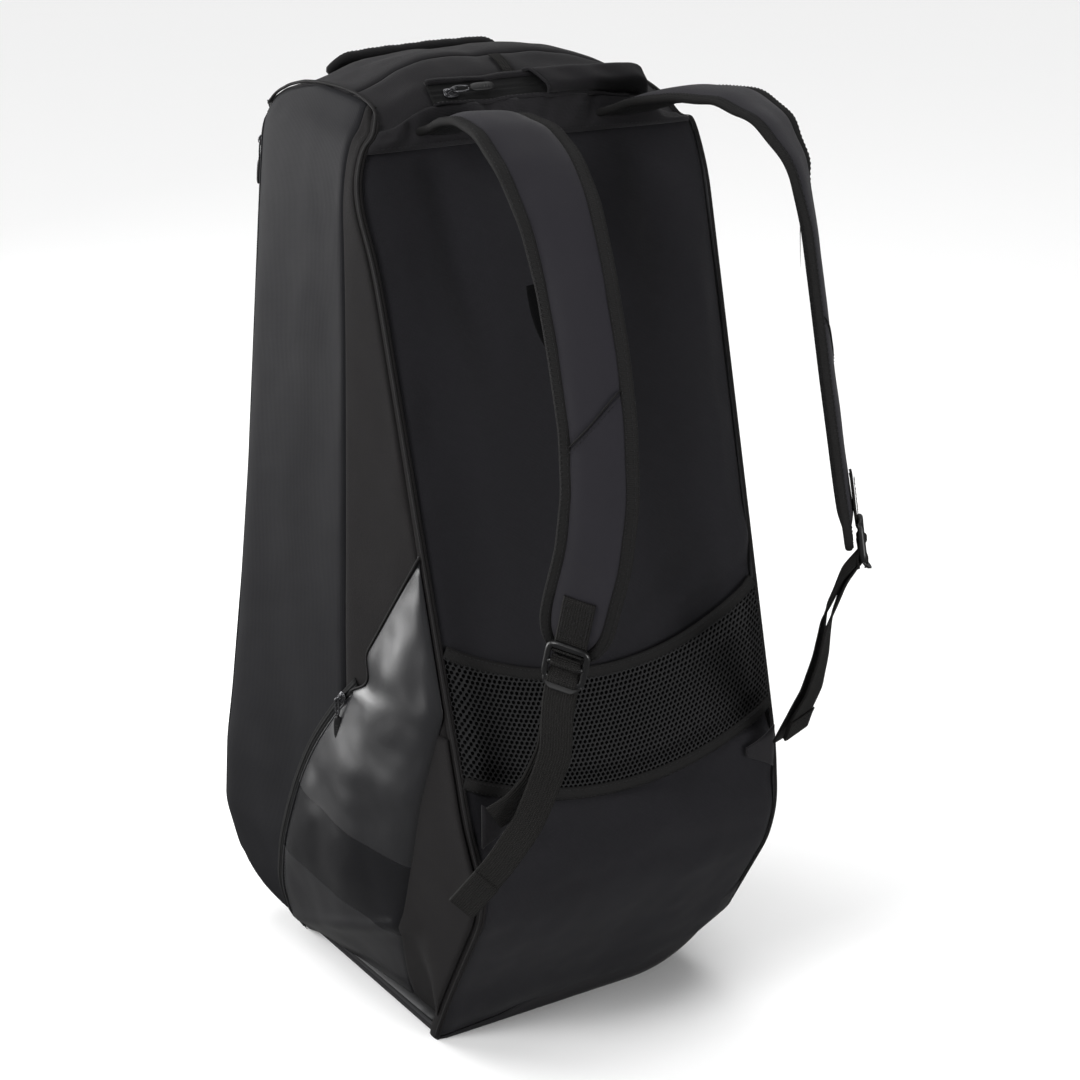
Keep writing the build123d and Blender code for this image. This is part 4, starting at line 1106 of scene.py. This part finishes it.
def strap_half(s, total, inset=0.0):
    """Half width of the strap's flat shape; it flares after the root and ends round."""
    s = np.asarray(s, float)
    flare = mix(0.90, 1.0, ease(s / 60)) + 0.05 * np.exp(-((s - 130) / 50) ** 2) - 0.02 * ease((s - 300) / 60)
    end = total - inset
    taper = np.clip((s - (end - 44)) / 44, 0, 1)
    return (STRAP_HALF * flare - inset) * np.sqrt(np.clip(1 - taper**2.4, 0, 1)) ** 0.9


def blended(piece):
    """A strap piece with its transform baked into its points."""
    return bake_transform(piece)


BINDING_SECTION = [(-0.3, 0.0), (0.1, 1.9), (1.6, 3.1), (4.5, 3.4), (7.6, 3.3), (9.4, 2.4), (9.4, -2.0), (7.6, -3.0),
                   (4.5, -3.2), (1.6, -2.9), (0.1, -1.8)]  # distance from the strap's edge, and rise

for side, sign in SIGN.items():
    frames = strap_frames(side)
    total = frames[3][-1]
    slant = sign * SEAM_SLANT
    # Padded cover and underside.
    s_rows = total - EDGE - (total - EDGE) * (1 - np.linspace(0, 1, 150)) ** 1.12
    S, Q = np.meshgrid(s_rows, np.linspace(-1, 1, 23), indexing="ij")
    X = Q * strap_half(S, total, EDGE)
    seam = np.abs((S - STRAP_SEAM) - slant * X) / 3.0
    dome = 4.6 * (1 - np.abs(Q) ** 3.2) * ease((total - EDGE - S) / 26) * mix(0.5, 1.0, ease(S / 40))
    top = strap_point(frames, X, S, 2.0 + dome - 1.1 * np.exp(-seam**2))
    top = top + strap_out(frames, S) * (0.5 * wobble(top, 26, 4.0))[..., None]
    low = strap_point(frames, X, S, -2.2 - 0.8 * dome)
    pad = shell(f"{side}_strap_pad", top, low, [STRAP, UNDER], None, "strap_fabric", uv=(X + 40, S))
    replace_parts(pad, f"{side}_shoulder_pad", f"{side}_strap_root")
    blended(pad)
    # Bound edge that runs down one side, round the end and up the other.
    edge_s = total - total * (1 - np.linspace(0, 1, 170)) ** 1.5
    flat = np.concatenate([np.stack([-strap_half(edge_s, total), edge_s], axis=1),
                           np.stack([strap_half(edge_s, total), edge_s], axis=1)[-2::-1]])
    gaps = run_of(flat)
    flat = sample(np.linspace(0, gaps[-1], int(gaps[-1] / 3.2)), gaps, flat)
    for _ in range(3):
        flat[1:-1] = 0.25 * flat[:-2] + 0.5 * flat[1:-1] + 0.25 * flat[2:]
    way = tangents(flat)
    inward = np.stack([way[:, 1], -way[:, 0]], axis=1)
    if inward[10][0] < 0:
        inward = -inward

    def bound_line(inset, rise):
        place = flat + inward * inset
        return strap_point(frames, place[:, 0], np.clip(place[:, 1], 0, total), np.full(len(place), rise))

    points = np.stack([bound_line(inset, rise) for inset, rise in BINDING_SECTION], axis=1)
    count, sides = points.shape[:2]
    uvs = np.array([[j * 2.2, i * 3.2] for i in range(count) for j in range(sides)])
    blended(make(f"{side}_strap_binding", points.reshape(-1, 3), rings_to_faces(count, sides), uvs, [BINDING], None))
    for tag, inset, rise in (("outer", 1.9, 3.3), ("inner", 7.2, 3.45)):
        out = strap_out(frames, (flat + inward * inset)[:, 1])
        blended(stitches(f"{side}_strap_{tag}_stitches", bound_line(inset, rise), out, None, sag=False))
    run_x = np.linspace(-21, 21, 16)
    run_s = STRAP_SEAM + slant * run_x
    fall = 3.6 * (np.abs(run_x) / 22) ** 4
    line = strap_point(frames, run_x, run_s, 6.7 - fall)
    blended(tube(f"{side}_strap_seam", line, 0.7, BINDING, None, 6, sag=False))
    line = strap_point(frames, run_x, run_s + 4, 6.9 - fall)
    blended(stitches(f"{side}_strap_seam_stitches", line, strap_out(frames, run_s), None, sag=False))
    # Dark flap that shows beside the strap's outer edge.
    blade = []
    for share in np.linspace(0, 1, 14):
        half = 8.0 * math.sin(math.pi * min(0.25 + share * 0.75, 0.985)) ** 0.7
        blade.append(strap_point(frames, sign * 31 + np.linspace(-half, half, 7), np.full(7, 238 + 50 * share),
                                 np.full(7, -5.0 - 5.0 * share)))
    blade = np.array(blade)
    shell(f"{side}_strap_blade", blade, blade - [0, 0, 1.6], [FOAM], f"{side}_strap", "webbing")


# ---- Buckles and webbing ----
# Below each buckle: to the anchor, and the loose end.
WEBBING_ROUTE = {
    "left": [(-104, -266, 308), (-110, -252, 277), (-124, -240, 256), (-138, -235, 247)],
    "right": [(110, -322, 395), (117, -308, 356), (124, -290, 319), (134, -262, 280), (142, -239, 250)],
}
TAIL_ROUTE = {
    "left": [(-107, -275, 310), (-112, -264, 276), (-120, -256, 246), (-143, -250, 213), (-174, -244, 183)],
    "right": [(109, -329, 390), (116, -315, 352), (123, -297, 316), (132, -270, 281), (138, -257, 262)],
}
WEB_WIDTH, WEB_THICK = 25, 1.6


def pad_axes(side):
    """Lower end of a shoulder pad: middle of its outer face, across, up and outward directions."""
    sign = SIGN[side]
    route = np.array(STRAP_ROUTE[side], float)
    upward = unit(route[-4] - route[-1])
    turn = math.radians(STRAP_TWIST)
    across = np.array([math.cos(turn), sign * math.sin(turn), 0])
    across = unit(across - upward * np.dot(across, upward))
    outward = np.cross(across, upward)
    if outward[1] > 0:
        outward, across = -outward, -across
    return route[-1] + outward * 5, across, upward, outward


def web_section(q):
    """Slightly rounded selvedges of a webbing."""
    return -0.5 * max(0, abs(q) - 0.86) / 0.14


def webbing(name, route, turns, side, node):
    """Ribbed webbing along a route, turning from the buckle's angle to the anchor's."""
    line = smooth_path(route, 3, 2)
    angle = np.radians(mix(turns[0], turns[1], ease(np.linspace(0, 1, len(line)))))
    across = turned(line, angle, SIGN[side])
    out = np.cross(across, tangents(line))
    if out[0][1] > 0:
        out = -out
    piece = strip(name, line + out * WEB_THICK / 2, across, out, WEB_WIDTH, WEB_THICK, [WEBBING], f"{side}_strap",
                  "webbing", web_section, 13)
    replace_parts(piece, node)
    return line, across, out


for side, sign in SIGN.items():
    body = f"{side}_strap"
    origin, across, upward, outward = pad_axes(side)
    shift = 9 if side == "left" else 14  # of the buckle, up from the pad's end

    def local(x, y, z):
        return origin + across * x + upward * y + outward * z

    def hung(x, y, z):
        return local(x, y + shift, z)

    def plastic(part, line, radius, sides=10, closed=False):
        return tube(f"{side}_{part}", np.array(line), radius, PLASTIC, None, sides, closed,
                    sag=False)

    # Doubled tab with a box stitch.
    rows = [(60, 3.2), (56, 3.6), (44, 3.7), (30, 3.6), (6 + shift, 3.8), (3.2 + shift, 5.0), (3.0 + shift, 6.4),
            (5.0 + shift, 6.0)]
    line = smooth_path([local(0, y, z) for y, z in rows], 2, 0)
    wide = np.broadcast_to(across, line.shape)
    tab = strip(f"{side}_tab_webbing", line, wide, line_frame(line, outward)[1], WEB_WIDTH, WEB_THICK, [WEBBING],
                body, "webbing", web_section, 13)
    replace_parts(tab, f"{side}_strap_tab")
    corners_at = [(-10, 28), (10, 28), (10, 54), (-10, 54), (-10, 28), (10, 54), (-10, 54), (10, 28)]
    box_line = [local(x, y, 4.5) for x, y in corners_at]
    stitches(f"{side}_tab_stitches", box_line, outward, body, sag=False)
    # Ladder-lock buckle: rails, three bars and a thumb lip.
    parts = [plastic("rail", oval(hung(0, -6, 5.2), across, upward, 15.2, 15.4, 44, 7.0), 2.5, closed=True)]
    for y, z, r in ((-6, 6.0, 2.3), (8.6, 5.2, 2.3), (-20.6, 5.2, 2.4)):
        bar = [hung(x, y, z + 0.5 * (1 - (x / 14) ** 2)) for x in np.linspace(-14.5, 14.5, 15)]
        parts.append(plastic("bar", bar, r))
    for k in range(9):
        ridge = [hung(-9.6 + 2.4 * k, -6 + dy, 8.5 - 0.12 * dy * dy) for dy in (-1.8, 0, 1.8)]
        parts.append(plastic("ridge", ridge, 0.45, 6))
    lip = []
    for share in np.linspace(0, 1, 7):
        half = 15.5 * math.sqrt(max(1 - (share * 0.96) ** 2.4, 0.03))
        lip.append([hung(x, -21.5 - 7 * share, 6.0 + 4.2 * share**1.5) for x in np.linspace(-half, half, 17)])
    lip = np.array(lip)
    parts.append(shell(f"{side}_lip", lip, lip - outward * 2.2, [PLASTIC], None, "buckle_plastic"))
    buckle = join(f"{side}_ladder_lock", parts, body)
    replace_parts(buckle, f"{side}_ladder_buckle")
    # Webbing threaded through the buckle, down to the anchor, and its loose doubled end.
    thread = smooth_path([hung(0, y, z) for y, z in (
        (-27, 1.6), (-20, 1.8), (-13, 3.4), (-8.5, 7.6), (-6, 9.4), (-3.5, 8.6), (-1.5, 5.0), (-4, 2.6), (-12, 3.0),
        (-17, 7.4), (-22, 8.6), (-27, 6.2))], 1.2, 0)
    wide = np.broadcast_to(across * 0.94, thread.shape)
    strip(f"{side}_threaded_webbing", thread, wide, line_frame(thread, outward + upward * 0.01)[1], WEB_WIDTH, 1.2,
          [WEBBING], body, "webbing", web_section, 9)
    if side == "left":
        web_route = [hung(0, -23, 2.0), local(0, -34, 0.5)] + WEBBING_ROUTE[side]
        tail_route = [hung(0, -23, 6.4), local(0, -36, 4.5)] + TAIL_ROUTE[side]
    else:
        web_route = [hung(0, -19, 1.5), (104, -349, 437), (107, -335, 414)] + WEBBING_ROUTE[side]
        tail_route = [hung(0, -19, 4.5), (104, -353, 435)] + TAIL_ROUTE[side]
    webbing(f"{side}_web", web_route, (STRAP_TWIST, 12), side, f"{side}_lower_webbing")
    tail, t_across, t_out = webbing(f"{side}_tail", tail_route, (STRAP_TWIST, 14), side, f"{side}_webbing_tail")
    end = slice(-11, None)
    strip(f"{side}_tail_end", tail[end] + t_out[end] * 2.4, t_across[end], t_out[end], WEB_WIDTH + 0.6, 1.5,
          [WEBBING], body, "webbing", web_section, 13)
    bar_line = [tail[-9] + t_out[-9] * 2.6 + t_across[-9] * x for x in np.linspace(-10.5, 10.5, 8)]
    stitches(f"{side}_tail_stitches", bar_line, t_out[-9], body, sag=False)
    # V-shaped anchor on the lower corner.
    low, high = (np.array(v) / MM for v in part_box(f"{side}_strap_anchor_tab"))
    inner, outer_x = (high[0], low[0]) if side == "left" else (low[0], high[0])
    rows = []
    for share in np.linspace(0, 1, 9):
        half = mix(19, 4, share**0.8)
        y = low[1] - 0.6 - 1.6 * math.sin(math.pi * share)
        rows.append([(mix(outer_x, inner, share), y, mix(low[2], high[2], 0.5) + half * w)
                     for w in np.linspace(-1, 1, 11)])
    tri = np.array(rows)
    anchor = shell(f"{side}_anchor", tri, tri + [0, 2.0, 0], [MAIN], "bag", "webbing")
    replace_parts(anchor, f"{side}_strap_anchor_tab")


# ---- Grab handle, carry handle and their tabs ----
def padded_handle(name, route, radius, hint, body, node):
    """Padded tube with lengthwise stitches and thinner ends."""
    line = smooth_path(route, 2.5, 2)
    share = np.linspace(0, 1, len(line))
    swell = radius * (0.72 + 0.28 * ease(share / 0.16) * ease((1 - share) / 0.16))
    swell = swell * (1 + 0.035 * np.sin(share * 60) + 0.03 * np.sin(share * 23 + 1))
    grip = tube(name, line, swell, WRAP, body, 18, flatten=0.9, sag=False, hint=hint)
    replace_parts(grip, node)
    b = unit(np.cross(tangents(line), np.asarray(hint, float)))[6:-6]
    for tag, sign in (("a", 1), ("b", -1)):
        stitches(f"{name}_stitches_{tag}", line[6:-6] + b * sign * swell[6:-6, None], b * sign, body,
                 sag=False)


grab_pin = joint_point("grab_handle_swing")
GRAB_HALF, GRAB_RISE = 84, 12.5
grab_route = [(-GRAB_HALF, 0, 0), (-GRAB_HALF + 5, 0, 5), (-GRAB_HALF + 15, 0, 10.5), (-30, 0, GRAB_RISE),
              (20, 0, GRAB_RISE + 1.5), (60, 0, GRAB_RISE + 1.5), (GRAB_HALF - 12, 0, 12), (GRAB_HALF - 3, 0, 6.5),
              (GRAB_HALF, 0, 0)]
padded_handle("grab_grip", grab_route + grab_pin * [0, 1, 1], 5.6, (0, 1, 0), "grab_handle_body", "grab_handle")
carry_pin = joint_point("carry_handle_swing")
carry_route = [(0, 1, -95), (0, 18, -88), (0, 36, -72), (0, 41, -40), (0, 43, 0), (0, 41, 40), (0, 36, 72),
               (0, 18, 88), (0, 1, 95)]
padded_handle("carry_grip", carry_route + carry_pin * [0, 1, 1], 8.2, (1, 0, 0), "carry_handle_body", "carry_handle")


def anchor_tab(name, tag, x, y, z, wide, tall, lean):
    """Stitched tab under the end of a handle; lean(w) is its depth a share w up from its middle."""
    rows = [[(x + u * wide, y + lean(w) + 2.6 - 5 * abs(u) ** 3, z + w * tall) for u in np.linspace(-0.5, 0.5, 9)]
            for w in np.linspace(-0.5, 0.5, 7)]
    grid = np.array(rows)
    n = normals(grid, (0, 1, 0.4))
    tab = shell(f"{name}_tab_{tag}", grid + n, grid - n, [WEBBING], "bag", "webbing")
    if tag == "b":
        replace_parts(tab, f"{name}_anchor_tabs")
    slope = -9 if name == "grab" else 0
    line = [(x + wide * u, y + 4.3 + slope * w, z + w * tall)
            for u, w in ((-0.38, -0.38), (0.38, -0.38), (0.38, 0.38), (-0.38, 0.38), (-0.38, -0.38))]
    stitches(f"{name}_tab_stitches_{tag}", line, (0, 1, 0), "bag", sag=False)


def front_y(z):
    """Depth of the front face."""
    return corners(z)[2][1]


for tag, sign in (("a", -1), ("b", 1)):
    anchor_tab("grab", tag, sign * GRAB_HALF, 108.5, 758, 15, 14, lambda w: -w * 9)
    z = carry_pin[2] + sign * 119
    anchor_tab("carry", tag, 0, front_y(z) + 1, z, 26, 30, lambda w: front_y(z + w * 30) - front_y(z))

# ---- Front, base and inside ----
def front_section(z):
    """Section of the front, from one main zip to the other."""
    _, shoulder, nose = corners(z)
    middle = mix(shoulder, nose, 0.5)
    facet = np.linalg.norm(nose - middle)
    before, after = toward(nose, middle, facet * 0.7), nose + [facet * 1.1, 0]
    left = [mix(middle, before, t) for t in (0.3, 0.7)]
    left += [mix(mix(before, nose, t), mix(nose, after, t), t) for t in np.linspace(0, 1, 6)]
    far = -left[-1][0]
    flat = [np.array([x, nose[1]]) for x in np.linspace(-far, far, 41)[1:-1]]
    return left + flat + [p * [-1, 1] for p in reversed(left)]


def front_relief(grid):
    """Two stitched channels and a slightly raised middle."""
    x, z = grid[..., 0], grid[..., 2]
    channel = np.exp(-((np.abs(x) - 96 + 0.00018 * (z - 380) ** 2) / 2.5) ** 2)
    return -1.6 * channel + 0.7 * np.sin(z / 34 + x / 40) * ease((z - 30) / 80)


grid = side_grid(rows_between(0, 753, 7), front_section)
front = skin("front_skin", grid, normals(grid, (0, 1, 0)), 5, [MAIN, LINING], "bag", "main_fabric",
             roll=(0.3, 1, 0.4, 0.4), puff=2.5, wrinkle=1.2, extra=front_relief(grid))
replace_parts(front, "front_panel")



def half_width(y, z):
    """Half width of the shell at depth y and height z."""
    x, depth = zip(*corners(z))
    return -np.interp(y, depth, x)


base_rows = []
for share in np.linspace(0, 1, 24):
    rear, _, nose = corners(0.0)
    y = mix(rear[1] + 2, nose[1] - 2, share)
    half = half_width(y, 0.0) - 2
    base_rows.append([(x, y, 0.6 + 2.2 * ease((abs(x) - half + 9) / 9)) for x in np.linspace(-half, half, 31)])
grid = np.array(base_rows)
base = skin("base_skin", grid, normals(grid, (0, 0, -1)), 4, [MAIN, LINING], "bag", "main_fabric",
            roll=(1, 1, 1, 1), depth=1.5, wrinkle=0.2)
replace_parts(base, "base_panel")


def quilted(name, node, material, slot, body, thick, puff, columns=41, cell=60):
    """Soft upright panel in the space of a CAD sheet, quilted in a diamond pattern."""
    low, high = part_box(node)
    mesh = frame["nodes"][node].data
    co = np.array([v.co for v in mesh.vertices]) / MM
    heights = np.round(co[:, 2], 1)
    levels = [z for z in np.unique(heights) if np.sum(heights == z) >= 8]
    halves = [co[heights == z, 0].max() for z in levels]
    depths = [(co[heights == z, 1].min() + co[heights == z, 1].max()) / 2 for z in levels]
    rows = []
    for z in rows_between(levels[0], levels[-1], 9):
        half, y = np.interp(z, levels, halves), np.interp(z, levels, depths)
        rows.append([(x, y, z) for x in np.linspace(-half, half, columns)])
    grid = np.array(rows)
    x, z = grid[..., 0], grid[..., 2]
    quilt = np.abs(np.sin((x + z) * math.pi / cell) * np.sin((x - z) * math.pi / cell)) ** 0.5
    n = normals(grid, BACK_OUT)
    swell = (thick / 2 - 0.6 + puff * quilt)[..., None]
    piece = shell(name, droop(grid + n * swell), droop(grid - n * swell), [material], body, slot)
    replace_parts(piece, node)
    return piece


quilted("divider_pad", "centre_divider", LINING, "lining", "bag", 5, 0.9)
quilted("organiser_pouch", "divider_pouch", LINING, "lining", "bag", 4, 0.6, 31, 400)
quilted("foil_liner", "thermal_liner", FOIL, "foil_lining", "bag", 2, 0.6)
board_low, board_high = (np.array(v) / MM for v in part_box("base_board"))
board_rows = []
for y in np.linspace(board_low[1] + 1, board_high[1] - 1, 12):
    half = half_width(y, 6.0) - 9
    board_rows.append([(x, y, board_high[2]) for x in np.linspace(-half, half, 24)])
board_grid = np.array(board_rows)
board = shell("base_stiffener", droop(board_grid), droop(board_grid - [0, 0, 2.5]), [BOARD], "bag", "board_plastic")
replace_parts(board, "base_board")
cad = frame["nodes"]["back_stiffener"]
cad.data.materials.clear()
cad.data.materials.append(BOARD)
